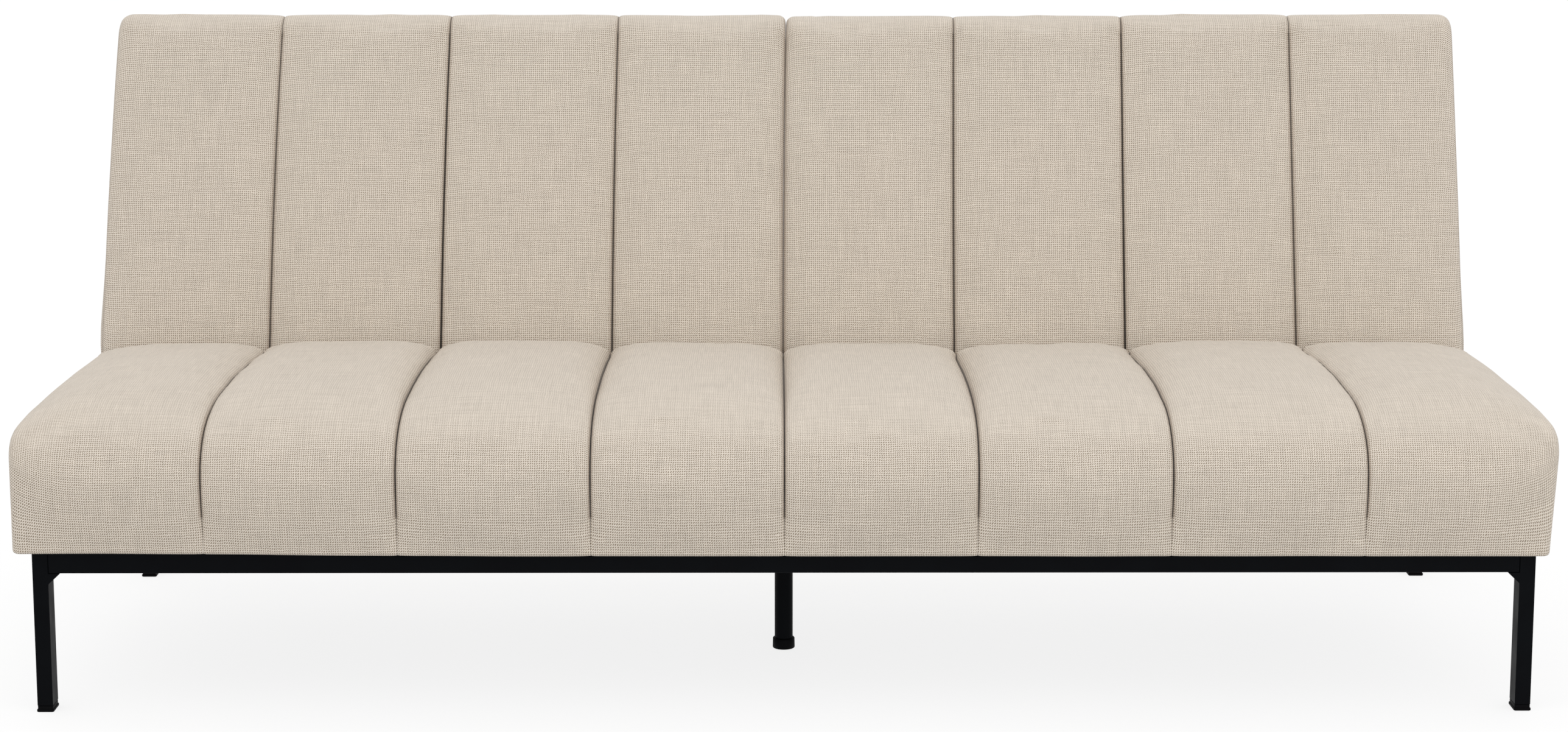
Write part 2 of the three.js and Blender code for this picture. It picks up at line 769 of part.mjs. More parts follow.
function makePin(shank, headRanges) {
  const shaft = disc([shank[0] - pinHeadThickness / 2, shank[1] + pinHeadThickness / 2], pivot, pinRadius);
  return join([shaft, ...headRanges.map((x) => disc(x, pivot, pinHeadRadius))]);
}

// Pawl: a lever from its stub to a nose that stands just clear of the ratchet's teeth
const noseTip = [pivot[0], pivot[1] - ratchetRadius - noseReach];
const noseRoot = [noseTip[0], noseTip[1] - noseHeight];

function makePawl(x, stubX) {
  return join([
    disc(x, pawlPivot, pawlBossRadius),
    bar(x, pawlPivot, noseRoot, pawlLever),
    plate(x, [
      [noseRoot[0] + noseRootWidth / 2, noseRoot[1]],
      [noseTip[0] + noseTipWidth / 2, noseTip[1]],
      [noseTip[0] - noseTipWidth / 2, noseTip[1]],
      [noseRoot[0] - noseRootWidth / 2, noseRoot[1]],
    ]),
    disc(stubX, pawlPivot, pawlStubRadius),
  ]);
}

// Pawl spring: an eye on the stud and a bowed leaf up to the underside of the pawl's lever
function makePawlSpring(x) {
  const lever = new THREE.Vector2(noseRoot[0] - pawlPivot[0], noseRoot[1] - pawlPivot[1]);
  const below = new THREE.Vector2(lever.y, -lever.x).normalize();
  const clear = pawlLever / 2 + seatedGap + springThickness / 2;
  const touch = new THREE.Vector2(...pawlPivot).addScaledVector(lever, springTouchShare);
  touch.addScaledVector(below, clear);
  const eyeMiddle = (springEyeRadius + springStudRadius + seatedGap) / 2;
  const start = new THREE.Vector2(springStud[0] + eyeMiddle, springStud[1]);
  const handle = new THREE.Vector2(start.x, (start.y + touch.y) / 2);
  const leaf = new THREE.QuadraticBezierCurve(start, handle, touch);
  const steps = circleSteps / 3;
  const outer = [];
  const inner = [];
  for (let i = 0; i <= steps; i++) {
    const point = leaf.getPoint(i / steps);
    const along = leaf.getTangent(i / steps);
    const half = springThickness / 2;
    outer.push([point.x + along.y * half, point.y - along.x * half]);
    inner.push([point.x - along.y * half, point.y + along.x * half]);
  }
  const strip = plate(x, [...outer, ...inner.reverse()]);
  const overX = [x[0] - cutOverrun, x[1] + cutOverrun];
  return cut(
    join([disc(x, springStud, springEyeRadius), strip]),
    [disc(overX, springStud, springStudRadius + seatedGap)],
  );
}

for (const [sideName, sign] of leftAndRight) {
  for (const [place, face, direction] of mountFaces) {
    const range = (span) => stackRange(sign, face, direction, span);
    const name = `${place}_${sideName}`;
    const springSpan = [backArmSpan[0], backArmSpan[0] + springWidth];
    const studSpan = [fixedArmSpan[1] - plateThickness / 2, springSpan[1]];
    const headSpans = [
      [pinSpan[0] - pinHeadThickness, pinSpan[0]],
      [pinSpan[1], pinSpan[1] + pinHeadThickness],
    ];
    const stubSpan = [fixedArmSpan[0], backArmSpan[0] + plateThickness / 2];
    addPiece(back, `back_arm_${name}`, makeBackArm(range(backArmSpan)), zincSteel);
    addPiece(sofa, `hinge_arm_${name}`, makeFixedArm(range(fixedArmSpan), range(studSpan)), blackSteel);
    addPiece(sofa, `hinge_pin_${name}`, makePin(range(pinSpan), headSpans.map(range)), zincSteel);
    addPiece(sofa, `pawl_${name}`, makePawl(range(backArmSpan), range(stubSpan)), zincSteel);
    addPiece(sofa, `pawl_spring_${name}`, makePawlSpring(range(springSpan)), springSteel);
  }
}

// Centre the sofa over its bounding box, standing on the floor
sofa.updateMatrixWorld(true);
const bounds = new THREE.Box3().setFromObject(sofa, true);
sofa.position.y = -(bounds.min.y + bounds.max.y) / 2;
const part = new THREE.Group();
part.add(sofa);

export default part;
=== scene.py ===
import json
import math

import bpy
import numpy as np
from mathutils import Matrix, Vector


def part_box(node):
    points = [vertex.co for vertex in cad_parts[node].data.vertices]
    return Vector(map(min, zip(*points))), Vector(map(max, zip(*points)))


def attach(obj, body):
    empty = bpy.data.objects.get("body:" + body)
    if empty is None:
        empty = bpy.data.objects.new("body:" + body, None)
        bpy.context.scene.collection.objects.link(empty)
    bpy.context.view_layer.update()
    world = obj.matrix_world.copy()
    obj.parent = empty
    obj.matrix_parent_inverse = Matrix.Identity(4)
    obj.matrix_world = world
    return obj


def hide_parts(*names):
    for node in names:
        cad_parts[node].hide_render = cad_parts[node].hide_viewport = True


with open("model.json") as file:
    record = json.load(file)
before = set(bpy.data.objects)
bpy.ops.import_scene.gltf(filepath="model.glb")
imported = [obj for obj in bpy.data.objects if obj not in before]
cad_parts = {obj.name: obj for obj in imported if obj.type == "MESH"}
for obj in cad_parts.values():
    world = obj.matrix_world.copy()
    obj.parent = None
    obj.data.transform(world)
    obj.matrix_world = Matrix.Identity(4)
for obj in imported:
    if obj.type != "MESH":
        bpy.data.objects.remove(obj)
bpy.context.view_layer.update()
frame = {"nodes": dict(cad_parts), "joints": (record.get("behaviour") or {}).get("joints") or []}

# A click clack sofa bed: a quilted seat on a black steel base, and a quilted back in two halves
# that recline by themselves. Metres, +Z up, +Y to the rear, -X at the left of the picture.

SIDES = {"left": -1, "right": 1}
MM = 0.001

# Sizes that the frame gives
seat_low, seat_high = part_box("seat_cover")
hinge_point = Vector(frame["joints"][0]["pos_m"])
sofa_half_width = seat_high.x
cushion_half_width = sofa_half_width - 6 * MM
seat_front = seat_low.y
seat_depth = seat_high.y - seat_low.y
seat_base = seat_low.z

# Quilting
channel_count = 8
channel_pitch = 2 * sofa_half_width / channel_count
crown_powers = {"crest": 5.0, "top": 5.5, "nose": 4.0, "front": 3.2, "edge": 8.0}
end_crown_power = 2.6
power_blend = 13
cap_rings = 9
cap_start = 0.06
round_cap_power = 2
flat_cap_power = 100
crease_depth = 6 * MM
crease_reach = 1.8 * MM
crease_start = 2.5 * MM
pucker_depth = 0.9 * MM
pucker_reach = 11 * MM
gather_pitch = 23 * MM
gather_wander = 31 * MM
gather_bend = 2.2
swell_depth = 1.0 * MM
swell_lengths = (90 * MM, 420 * MM)
# Along the rims of the end faces the painted seam shade counts as this far from a seam
rim_seam_inset = 0.5 * MM
end_face_spare = 50 * MM
no_seam = (1.0, 0.0)

# Cloth simulation: a coarse copy of a cushion starts a little sunk, and pressure swells it
sunk_depth = 3.5 * MM
swell_limit = 5 * MM
cloth_pressure = 4.0
cloth_tension = 40.0
cloth_frames = 20
coarse_step = 3

# Seat
seat_counts = {"rear": 24, "corner": 14, "top": 76, "nose": 46, "front": 24, "lip": 6, "base": 30}
seat_thickness = 194.7 * MM
seat_rear_height = 397 * MM
seat_rear_radius = 35 * MM
seat_hollow_front = 45 * MM
seat_hollow_rear = 20 * MM
seat_hollow_end = 25 * MM
seat_foam_radius = 48 * MM
seat_end_round = 10 * MM
seat_drawn = (10 * MM, 10 * MM)
seat_end_bulges = (0.5 * MM, 0.5 * MM)
seat_end_height = 373 * MM
seat_end_setback = 11 * MM
seat_end_nose_radius = 30 * MM
seat_end_rear_radius = 12 * MM
seat_end_flat = 60 * MM
seat_end_flat_count = 14
seat_end_foot = (4 * MM, 9 * MM)
seat_end_handles = (40 * MM, 30 * MM)
seat_end_lean = 2 * MM
hem_front = 17 * MM
hem_level = 21 * MM
hem_rear = 30 * MM
hem_reach = 60 * MM
hem_drops = (-4, -6, -8, -8, -8.5, -8.7, -8.7, -8.7)
seat_end_stands = {"left": (3.3 * MM, 2 * MM), "right": (-3.9 * MM, 4 * MM)}
seat_core_rise = 50 * MM
seat_grooves = {"rear": 8 * MM, "crest": 22 * MM, "nose": 17 * MM, "front": 13 * MM, "lip": 1.5 * MM}
channel_lifts = (-5, 0, 1.5, -4.5, -6, -6.5, -1, -3)
lift_start = 14 * MM
seat_seam_depths = (0.7, 0.85, 0.95, 0.85, 0.95, 0.7, 0.55)
# How strong the painted shade along each of the seat's seams is
seat_seam_shades = (0.85, 1, 1, 1, 1, 1, 0.85)
nose_ridge = 0.7 * MM
nose_ridge_share = 0.57
nose_ridge_reach = 12 * MM

# Back, measured upright: t runs from the front face to the rear, l from the bottom to the top
back_counts = {
    "rear": 30, "rear_corner": 12, "top": 14, "front_corner": 16, "front": 96, "lower_corner": 10,
    "bottom": 14,
}
back_lean = math.radians(22.5)
back_length = 564 * MM
back_thickness = 125 * MM
back_bulge = 12 * MM
back_gap = 1.0 * MM
back_lower_radius = 30 * MM
back_front_top_radius = 38 * MM
back_rear_top_radius = 22 * MM
back_outer_round = 20 * MM
back_inner_round = 10 * MM
back_drawn = (12 * MM, 13 * MM)
back_outer_bulge = 3 * MM
back_inner_bulge = 0.4 * MM
back_inner_drawn = 0.65
back_top_rises = {"left": (4.8, 4.1, 3.9, 3.5), "right": (2.1, 2.4, 4.1, 4.5)}
back_rise_reach = 110 * MM
back_sway = 4.9 * MM
back_spread = 3.6 * MM
back_slumps = {"left": 12 * MM, "right": 8 * MM}
back_slump_reach = 150 * MM
# How strong the painted shade along each of a back half's seams is
back_seam_shades = {"left": (0.65, 1, 0.8), "right": (0.8, 1, 0.7)}
back_grooves = {"rear": 1 * MM, "top": 3 * MM, "front": 12 * MM, "bottom": 4 * MM}
pivot_rise = 48.2 * MM
pivot_inset = 45.2 * MM
back_hollow_front = 28 * MM
back_hollow_ends = 22 * MM
back_hollow_outer = 35 * MM
back_hollow_inner = 11 * MM
back_foam_radius = 12 * MM
rear_panel_thickness = 5.4 * MM
rear_panel_crown = 2.2 * MM
rear_panel_clearance = 0.1 * MM
rear_panel_round = 3 * MM
rear_panel_drawn = 1.2 * MM
rear_panel_edge_share = 0.45
pocket_inset = 26 * MM
pocket_length = 92 * MM
pocket_spans = {"outer": (929.4 * MM, 949 * MM), "inner": (11 * MM, 30.6 * MM)}
seated_gap = 0.3 * MM
dust_cloth_thickness = 0.6 * MM
dust_cloth_sag = 0.4 * MM
dust_cloth_folds = 0.2 * MM
dust_cloth_fold_reach = 40 * MM
dust_cloth_grid = (121, 41)
staple_pitch = 62 * MM
staple_inset = 15 * MM
staple_reach = 5 * MM
staple_rise = 2 * MM
staple_half_wire = 0.4 * MM
staple_drop = 0.1 * MM

# Base and hinges
steel_edge_radius = 1.4 * MM
flange_proud = 1.0 * MM
flange_height = 3.2 * MM
flange_foot = (0.9 * MM, 0.7 * MM)
flange_shoulder = 0.8 * MM
plug_inset = 1.9 * MM
plug_taper = (1 * MM, 2 * MM)
glide_corner = 2 * MM
leg_tube_edge = 0.5 * MM
foot_bevel = 1.2 * MM
foot_taper = 0.3 * MM
hinge_plate_thickness = 5 * MM
pin_head_thickness = 3 * MM
pin_radius = 6 * MM
pin_head_dome = [(0, 0.55), (0.25, 0.85), (0.6, 1), (1, 1)]
bolt_head_dome = [(0, 1), (0.35, 1), (0.7, 0.86), (0.93, 0.6), (1, 0.3)]
bolt_head_radius = 6 * MM
bolt_head_height = 3.6 * MM
bolt_inset = 14 * MM
foot_plate_height = 25 * MM
weld_radius = 2.2 * MM
weld_proud = 0.3 * weld_radius
weld_ends = (3 * MM, 2 * MM)
weld_ripple = 0.14
weld_ripple_pitch = 2.4 * MM
cut_overrun = 5 * MM
soft_edge_angle = math.radians(50)
hard_edge_angle = math.radians(40)

# Weave: its noises have so many cells for each metre, and move the yarns by shares of a pitch
yarn_pitch_across = 2.88 * MM
yarn_pitch_along = 3.1 * MM
across_drift_cells = 55.0
across_drift = 1.1
along_drift_cells = (40, 62, 1)
jolt_cells = 210.0
jolt = 0.45
checker_share = 0.9
slant_share = 1.2
fibre_cells = 900.0
fibre_share = 2.6
fibre_light = 0.45
fibre_height = 0.6
gap_levels = (-2.0, 3.0)
mean_gap = 0.24
# Painted highlights on the yarns' crests
crest_highlight_levels = (-0.3, -1.6)
crest_highlight = 0.14
warp_cells = (300.0, 18.0, 1.0)
weft_cells = (16.0, 280.0, 1.0)
cloud_cells = 16.0
# Where a face looks up this much, the painted shade in the weave's gaps is evened to its mean
upward_facings = (0.55, 0.98)
evened_share = 0.6

# A seam's painted shade: a dark slit for the shade deep in its crease, and a brownish halo of painted
# shade beside it
shade_slit_least = 0.2 * MM
shade_slit_growth = 0.65 * MM
shade_slit_rim = 0.3 * MM
shade_slit_teeth = 0.2 * MM
shade_slit_least_strength = 0.36
shade_slit_strength_growth = 0.62
shade_halo_reach = (0.5 * MM, 4.5 * MM)
shade_halo_slits = (0.2, 0.6)
shade_halo_share = 0.36

# Painted and moulded surfaces
broad_speckle_cells = 21.0
gloss_drift = 0.05

# Camera, floor and lamps. A lamp has its place, what it points at, its size and its power.
camera_place = (-0.0133, -4.3708, 1.2112)
camera_pitch = math.radians(9.396)
camera_yaw = math.radians(-0.184)
camera_lens = 72.91
camera_shift = -0.05
lamps = {
    "key_lamp": ((-1.2, -2.6, 4.2), (0, -0.2, 0.3), (3.4, 2.2), 6),
    "fill_lamp": ((1.6, -4.4, 1.6), (0, -0.1, 0.3), (3.0, 1.6), 22),
}
floor_reach = 40
floor_seen = 0.2
floor_unseen = 0.7
floor_glow = 0.83
world_seen = 1.0
world_unseen = 0.93


# Curves in a plane. Each gives count points and leaves out its end, which starts the next one.

def straight(start, end, count):
    """A line: start times 1 - t plus end times t, for t from 0 to just under 1."""
    t = np.arange(count)[:, None] / count
    return np.array(start) * (1 - t) + np.array(end) * t


def bezier(start, first, second, end, count):
    """A cubic Bezier curve: its four points weighed by the cubic Bernstein shares at t."""
    t = np.arange(count)[:, None] / count
    start, first, second, end = (np.array(point) for point in (start, first, second, end))
    s = 1 - t
    return s**3 * start + 3 * s**2 * t * first + 3 * s * t**2 * second + t**3 * end


def arc(centre, radius, first_angle, last_angle, count):
    """A circle's arc: centre plus radius times (cosine, sine) of an angle that grows evenly."""
    angle = np.linspace(first_angle, last_angle, count, endpoint=False)[:, None]
    return np.array(centre) + radius * np.hstack([np.cos(angle), np.sin(angle)])


def fade(value, full, none):
    """A smooth share of three squares less two cubes of the way: 1 at full and 0 at none."""
    way = ((value - none) / (full - none)).clip(0, 1)
    return way**2 * (3 - 2 * way)


def chord_normals(points):
    """Outward normals of a closed outline: at each point the chord between its two neighbours,
    turned by a right angle."""
    chord = np.roll(points, -1, axis=0) - np.roll(points, 1, axis=0)
    normals = np.stack([chord[:, 1], -chord[:, 0]], axis=1)
    return normals / np.linalg.norm(normals, axis=1, keepdims=True)


def walk(stretches, ridge_at=None):
    """A closed outline from stretches, each (points, groove, crown power, slit), where groove is the
    seam's depth and slit the share of the painted shade along the seam's crease, both at the stretch's
    start and end. Gives points, normals, grooves, powers as a running mean, slits and the length
    walked. The foam's edge lifts the cloth in a ridge at the point ridge_at, which dies out
    exponentially with the length walked."""
    points = np.vstack([stretch[0] for stretch in stretches])
    grooves = [np.linspace(*groove, len(part), endpoint=False) for part, groove, _, _ in stretches]
    slits = [np.linspace(*slit, len(part), endpoint=False) for part, _, _, slit in stretches]
    powers = np.concatenate([np.full(len(part), power) for part, _, power, _ in stretches])
    round_powers = np.pad(powers, power_blend // 2, "wrap")
    powers = np.convolve(round_powers, np.ones(power_blend) / power_blend, "valid")
    step = np.linalg.norm(np.roll(points, -1, axis=0) - points, axis=1)
    walked = np.concatenate([[0], np.cumsum(step)])
    ridge = np.zeros(len(points))
    if ridge_at is not None:
        ridge = nose_ridge * np.exp(-np.abs(walked[:-1] - walked[ridge_at]) / nose_ridge_reach)
    return {
        "points": points,
        "normals": chord_normals(points),
        "ridge": ridge,
        "rise": np.zeros(len(points)),
        "groove": np.concatenate(grooves),
        "power": powers,
        "slit": np.concatenate(slits),
        "walked": walked,
    }


def seat_outline():
    """The seat's section over a channel's middle: up the rear face, over its rounded edge, forward
    over the crown, down the nose and front, under the lip and back along the flat base. Points are
    (depth, height). What rises with a channel, or drops, is the hem at the foot of the front."""
    def place(depth_share, height_share):
        """A point from its shares of the seat's depth and thickness."""
        return (depth_share * seat_depth, seat_base + height_share * seat_thickness)

    shoulder = (seat_depth - seat_rear_radius, seat_rear_height - seat_rear_radius)
    nose_top = place(0.236, 0.967)
    nose_end = place(0, 0.467)
    front_end = (hem_front, seat_base + 0.035 * seat_thickness)
    lip_end = (hem_rear, seat_base)
    top_start = (shoulder[0], seat_rear_height)
    depth, power, count = seat_grooves, crown_powers, seat_counts
    rear = straight((seat_depth, seat_base), (seat_depth, shoulder[1]), count["rear"])
    corner = arc(shoulder, seat_rear_radius, 0, math.pi / 2, count["corner"])
    top = bezier(top_start, place(0.7, 1.005), place(0.432, 1.02), nose_top, count["top"])
    nose = bezier(nose_top, place(0.121, 0.928), place(0, 0.81), nose_end, count["nose"])
    front = bezier(nose_end, place(0, 0.3), place(0.02, 0.17), front_end, count["front"])
    late = round(len(front) * 0.55)
    lip = bezier(front_end, place(0.034, 0.006), place(0.042, 0), lip_end, count["lip"])
    base = straight(lip_end, (seat_depth, seat_base), count["base"])
    # The last pair of each stretch is the share of painted shade along the seam's crease, at its start
    # and end
    section = walk([
        (rear, (0, depth["rear"]), power["front"], (0.2, 0.5)),
        (corner, (depth["rear"], depth["crest"]), power["crest"], (0.5, 0.4)),
        (top, (depth["crest"], depth["nose"]), power["top"], (0.35, 0.5)),
        (nose, (depth["nose"], depth["front"]), power["nose"], (0.5, 1)),
        (front[:late], (depth["front"], depth["front"] * 0.75), power["front"], (1, 0.6)),
        (front[late:], (depth["front"] * 0.75, depth["lip"]), power["front"], (0.25, 0.05)),
        (lip, (depth["lip"], depth["lip"]), power["front"], (0.1, 0.1)),
        (base, (0, 0), power["front"], (0, 0)),
    ], ridge_at=len(rear) + len(corner) + len(top) + round(len(nose) * nose_ridge_share))
    depth, height = section["points"].T
    section["rise"] = fade(height, seat_base, seat_base + hem_reach)
    section["rise"] *= fade(depth, hem_level, hem_rear)
    return section


def seat_end_outline():
    """The seat's section at its ends, with a point for each of the crown's: lower and squarer, with
    a level top, a round nose and an upright front."""
    rear_x, top_z = seat_depth - seat_drawn[0] / 4, seat_end_height
    radius, nose_radius = seat_end_rear_radius, seat_end_nose_radius
    nose_centre = (seat_end_setback + nose_radius, top_z - nose_radius)
    foot_x, foot_z = seat_end_setback + seat_end_foot[0], seat_base + seat_end_foot[1]
    lip_end = (hem_rear, seat_base)
    quarter = math.pi / 2
    nose_start = nose_centre[0] + seat_end_flat
    count, flat_count, lean = seat_counts, seat_end_flat_count, seat_end_lean
    upper, lower = seat_end_handles
    points = np.vstack([
        straight((rear_x, seat_base), (rear_x, top_z - radius), count["rear"]),
        arc((rear_x - radius, top_z - radius), radius, 0, quarter, count["corner"]),
        straight((rear_x - radius, top_z), (nose_start, top_z), count["top"]),
        straight((nose_start, top_z), (nose_centre[0], top_z), flat_count),
        arc(nose_centre, nose_radius, quarter, 2 * quarter, count["nose"] - flat_count),
        bezier((seat_end_setback, nose_centre[1]), (seat_end_setback, nose_centre[1] - upper),
               (foot_x - lean, foot_z + lower), (foot_x, foot_z), count["front"]),
        bezier((foot_x, foot_z), (foot_x, seat_base + lean), (foot_x + lean, seat_base), lip_end,
               count["lip"]),
        straight(lip_end, (rear_x, seat_base), count["base"]),
    ])
    return {"points": points, "normals": chord_normals(points)}


def back_outline():
    """The back's section upright: up the rear face, over the top with its two rounded edges, down
    the bulging front, round the lower edge and along the bottom. Points are (t, l). What rises with
    a channel is its top."""
    rear_round = (back_thickness - back_rear_top_radius, back_length - back_rear_top_radius)
    front_round = (back_front_top_radius, back_length - back_front_top_radius)
    handle = -back_bulge * 4 / 3
    lower = (back_lower_radius, back_lower_radius)
    depth, flat_power, power = back_grooves, crown_powers["edge"], crown_powers["front"]
    count, quarter, length = back_counts, math.pi / 2, back_length
    rear = straight((back_thickness, 0), (back_thickness, rear_round[1]), count["rear"])
    rear_corner = arc(rear_round, back_rear_top_radius, 0, quarter, count["rear_corner"])
    top = straight((rear_round[0], length), (front_round[0], length), count["top"])
    front_corner = arc(front_round, back_front_top_radius, quarter, 2 * quarter, count["front_corner"])
    front = bezier((0, front_round[1]), (handle, length * 2 / 3), (handle, length / 3),
                   (0, back_lower_radius), count["front"])
    lower_corner = arc(lower, back_lower_radius, 2 * quarter, 3 * quarter, count["lower_corner"])
    bottom = straight((back_lower_radius, 0), (back_thickness, 0), count["bottom"])
    middle = (depth["top"] + depth["front"]) / 2
    # The last pair of each stretch is the share of painted shade along the seam's crease, at its start
    # and end
    section = walk([
        (rear, (0, depth["rear"]), flat_power, (0.1, 0.3)),
        (rear_corner, (depth["rear"], depth["top"]), flat_power, (0.3, 0.4)),
        (top, (depth["top"], depth["top"]), flat_power, (0.4, 0.4)),
        (front_corner, (depth["top"], middle), flat_power - 2, (0.4, 0.6)),
        (front, (middle, depth["front"]), power, (0.8, 0.9)),
        (lower_corner, (depth["front"], depth["bottom"]), power, (0.9, 0.6)),
        (bottom, (depth["bottom"], 0), power, (0.6, 0.1)),
    ])
    section["rise"] = fade(section["points"][:, 1], back_length, back_length - back_rise_reach)
    return section


# Quilted cushions

def quilt_stations(ends, seams, rounds, dips, bulges, steps):
    """Places along x of a cushion's rings, as arrays. In a channel they lie at the sine of an even
    angle, so that they crowd towards its seams. Each has its share of the way to the channel's seam
    or, in the outer half of an end channel, to the free end; how far the end's quarter round has
    drawn it in; and its size on the end's face, which bulges outwards. An end that dips counts as
    a seam, and its face is flat almost to its edge. With no seams, one far away stands for them."""
    x, seam_share, end_share, shrink, channel = [], [], [], [], []

    def add(at, seam_shares, end_shares, shrinks, number):
        """Adds stations of one channel."""
        count = len(at)
        x.extend(at)
        seam_share.extend(np.broadcast_to(seam_shares, count))
        end_share.extend(np.broadcast_to(end_shares, count))
        shrink.extend(np.broadcast_to(shrinks, count))
        channel.extend([number] * count)

    cap = np.sin(np.linspace(cap_start, math.pi / 2, cap_rings, endpoint=False))
    last = len(seams)
    edges = [ends[0], *seams, ends[1]]
    powers = [flat_cap_power if dip else round_cap_power for dip in dips]
    add(ends[0] - bulges[0] * (1 - cap**powers[0]), float(dips[0]), float(not dips[0]), cap, 0)
    for number, (left, right) in enumerate(zip(edges, edges[1:])):
        middle, half = (left + right) / 2, (right - left) / 2
        share = np.sin(np.linspace(-math.pi / 2, math.pi / 2, 2 * steps + 1))
        to_seam, to_end = np.abs(share), np.zeros(len(share))
        for edge, direction in ((0, -1), (last, 1)):
            if number == edge and not dips[(direction + 1) // 2]:
                outer = share * direction > 0
                to_end[outer] = to_seam[outer]
                to_seam[outer] = 0
        stop = None if number == last else -1
        add((middle + half * share)[:stop], to_seam[:stop], to_end[:stop], 1, number)
    cap = cap[::-1]
    add(ends[1] + bulges[1] * (1 - cap**powers[1]), float(dips[1]), float(not dips[1]), cap, last)
    x = np.array(x)
    into_round = np.maximum(1 - (x - ends[0]) / rounds[0], 1 - (ends[1] - x) / rounds[1]).clip(0, 1)
    return {
        "x": x,
        "seam_share": np.array(seam_share),
        "end_share": np.array(end_share),
        "drawn": 1 - np.sqrt(1 - into_round**2),
        "shrink": np.array(shrink),
        "channel": np.array(channel),
        "middles": (np.array(edges[1:]) + np.array(edges[:-1])) / 2,
        "seams": np.array(seams) if len(seams) else np.array([ends[0] - 1.0]),
    }


def swells(across, along, seed, wavelengths, count=9):
    """A gentle unevenness of about -1 to 1: plane waves, each with its own direction, length and
    phase drawn from the seed, summed and divided by 1.5 times the root of their number."""
    random = np.random.default_rng(seed)
    total = np.zeros(np.broadcast(across, along).shape)
    for _ in range(count):
        angle = random.uniform(0, math.pi)
        number = 2 * math.pi / random.uniform(*wavelengths)
        phase = random.uniform(0, 2 * math.pi)
        total += np.cos(number * (across * math.cos(angle) + along * math.sin(angle)) + phase)
    return total / math.sqrt(count) / 1.5


def crown_dip(share, power):
    """How far a crown has fallen at a share of the way from its middle to its edge: one minus the
    root of one minus the share to a power, so that it meets the edge upright."""
    return 1 - np.sqrt(1 - np.abs(share)**power)


def crease_share(groove):
    """How much of the crease there is beside a groove of some depth, from 0 to 1."""
    return (groove / (groove + crease_start))**2


def inward_moves(outline, stations, form, sunk):
    """How far each point moves in along its normal: by the groove's depth times the crown dip, by
    a narrow crease, by a row of puckers that die out away from the seam and by a gentle unevenness,
    less the channel's own lift and the ridge. The crown may start sunk by a depth, for the
    simulation to swell it again."""
    x = stations["x"][:, None]
    groove = outline["groove"][None, :]
    walked = outline["walked"][None, :-1]
    distance = np.abs(x - stations["seams"][None, :])
    nearest = distance.argmin(axis=1)[:, None]
    distance = distance.min(axis=1)[:, None]
    crease = crease_depth * crease_share(groove)
    fading = np.exp(-distance / crease_reach)
    # Each side of each seam has puckers of its own
    phase = nearest * 1.7 + np.sign(x - stations["seams"][nearest]) * 0.6
    turns = 2 * math.pi * walked / gather_pitch
    gathers = 0.5 + 0.5 * np.sin(turns + gather_bend * np.sin(walked / gather_wander + phase) + phase)
    puckers = pucker_depth * gathers * np.exp(-((distance / pucker_reach)**2)) * (1 - fading)
    on_show = groove / (groove + crease_start)
    unevenness = swell_depth * swells(x, walked, form["seed"], swell_lengths)
    middles = stations["middles"]
    lift_share = ((groove - lift_start) / lift_start * 2).clip(0, 1)
    lift = np.interp(x, middles, form.get("lifts", np.zeros(len(middles)))) * MM * lift_share
    seam_depth = np.array(form.get("depths", np.ones(len(stations["seams"]))))[nearest]
    dip = crown_dip(stations["seam_share"][:, None], outline["power"][None, :])
    inward = groove * seam_depth * dip + crease * fading + (puckers + unevenness) * on_show - lift
    inward += (sunk * on_show - outline["ridge"]) * (1 - dip)
    return inward * stations["shrink"][:, None]


def cushion_surface(outline, end_outline, stations, form, sunk):
    """A cushion's points as an array (station, outline point, x y z). Towards a free end the crown's
    outline turns into the end's by the crown dip. Each point then moves in along its normal; the
    ends are drawn towards the core and shrink to it. Each channel's edge rises by its own length. A
    seat's ends stand out by a length that changes evenly from foot to top. A back's outer end
    slumps, which bulges its face more towards the bottom, and the back sways to the right and
    spreads by the square of the distance from the hinge, which keeps the halves clear of each other
    as they turn. A form may leave out its lifts, depths of seams, rises, stands and slump."""
    x = stations["x"][:, None]
    inward = inward_moves(outline, stations, form, sunk)
    turned = crown_dip(stations["end_share"], end_crown_power)[:, None, None]
    points = outline["points"] * (1 - turned) + end_outline["points"] * turned
    normals = outline["normals"] * (1 - turned) + end_outline["normals"] * turned
    plane = points - normals * inward[:, :, None]
    centre = np.array(form["core"])
    reach = np.abs(outline["points"] - centre).max(axis=0)
    scale = 1 - stations["drawn"][:, None, None] * np.array(form["drawn"]) / reach
    plane = centre + (plane - centre) * scale * stations["shrink"][:, None, None]
    middles = stations["middles"]
    rises = np.interp(stations["x"], middles, form.get("rises", np.zeros(len(middles)))) * MM
    plane[:, :, 1] += (rises * stations["shrink"])[:, None] * outline["rise"]
    across = np.broadcast_to(x, plane.shape[:2]).copy()
    for side, (at_foot, at_top) in form.get("stands", {}).items():
        past = x * SIDES[side] - (sofa_half_width - channel_pitch)
        way = past.clip(0, channel_pitch) / channel_pitch
        height = ((plane[:, :, 1] - seat_base) / (seat_end_height - seat_base)).clip(0, 1)
        across += SIDES[side] * way * (at_foot + (at_top - at_foot) * height)
    if "slump" in form:
        t, height = plane[:, :, 0], plane[:, :, 1]
        outer = np.sign(across - middles.mean())
        slump = form["slump"] * np.exp(-((height / back_slump_reach)**2))
        across += outer * slump * (1 - stations["shrink"][:, None]**4) * (outer * form["outer"] > 0)
        from_hinge = ((t - pivot_inset)**2 + (height - pivot_rise)**2) / (back_length - pivot_rise)**2
        across += (back_sway + back_spread * x / sofa_half_width) * from_hinge
    return np.concatenate([across[:, :, None], plane], axis=2)


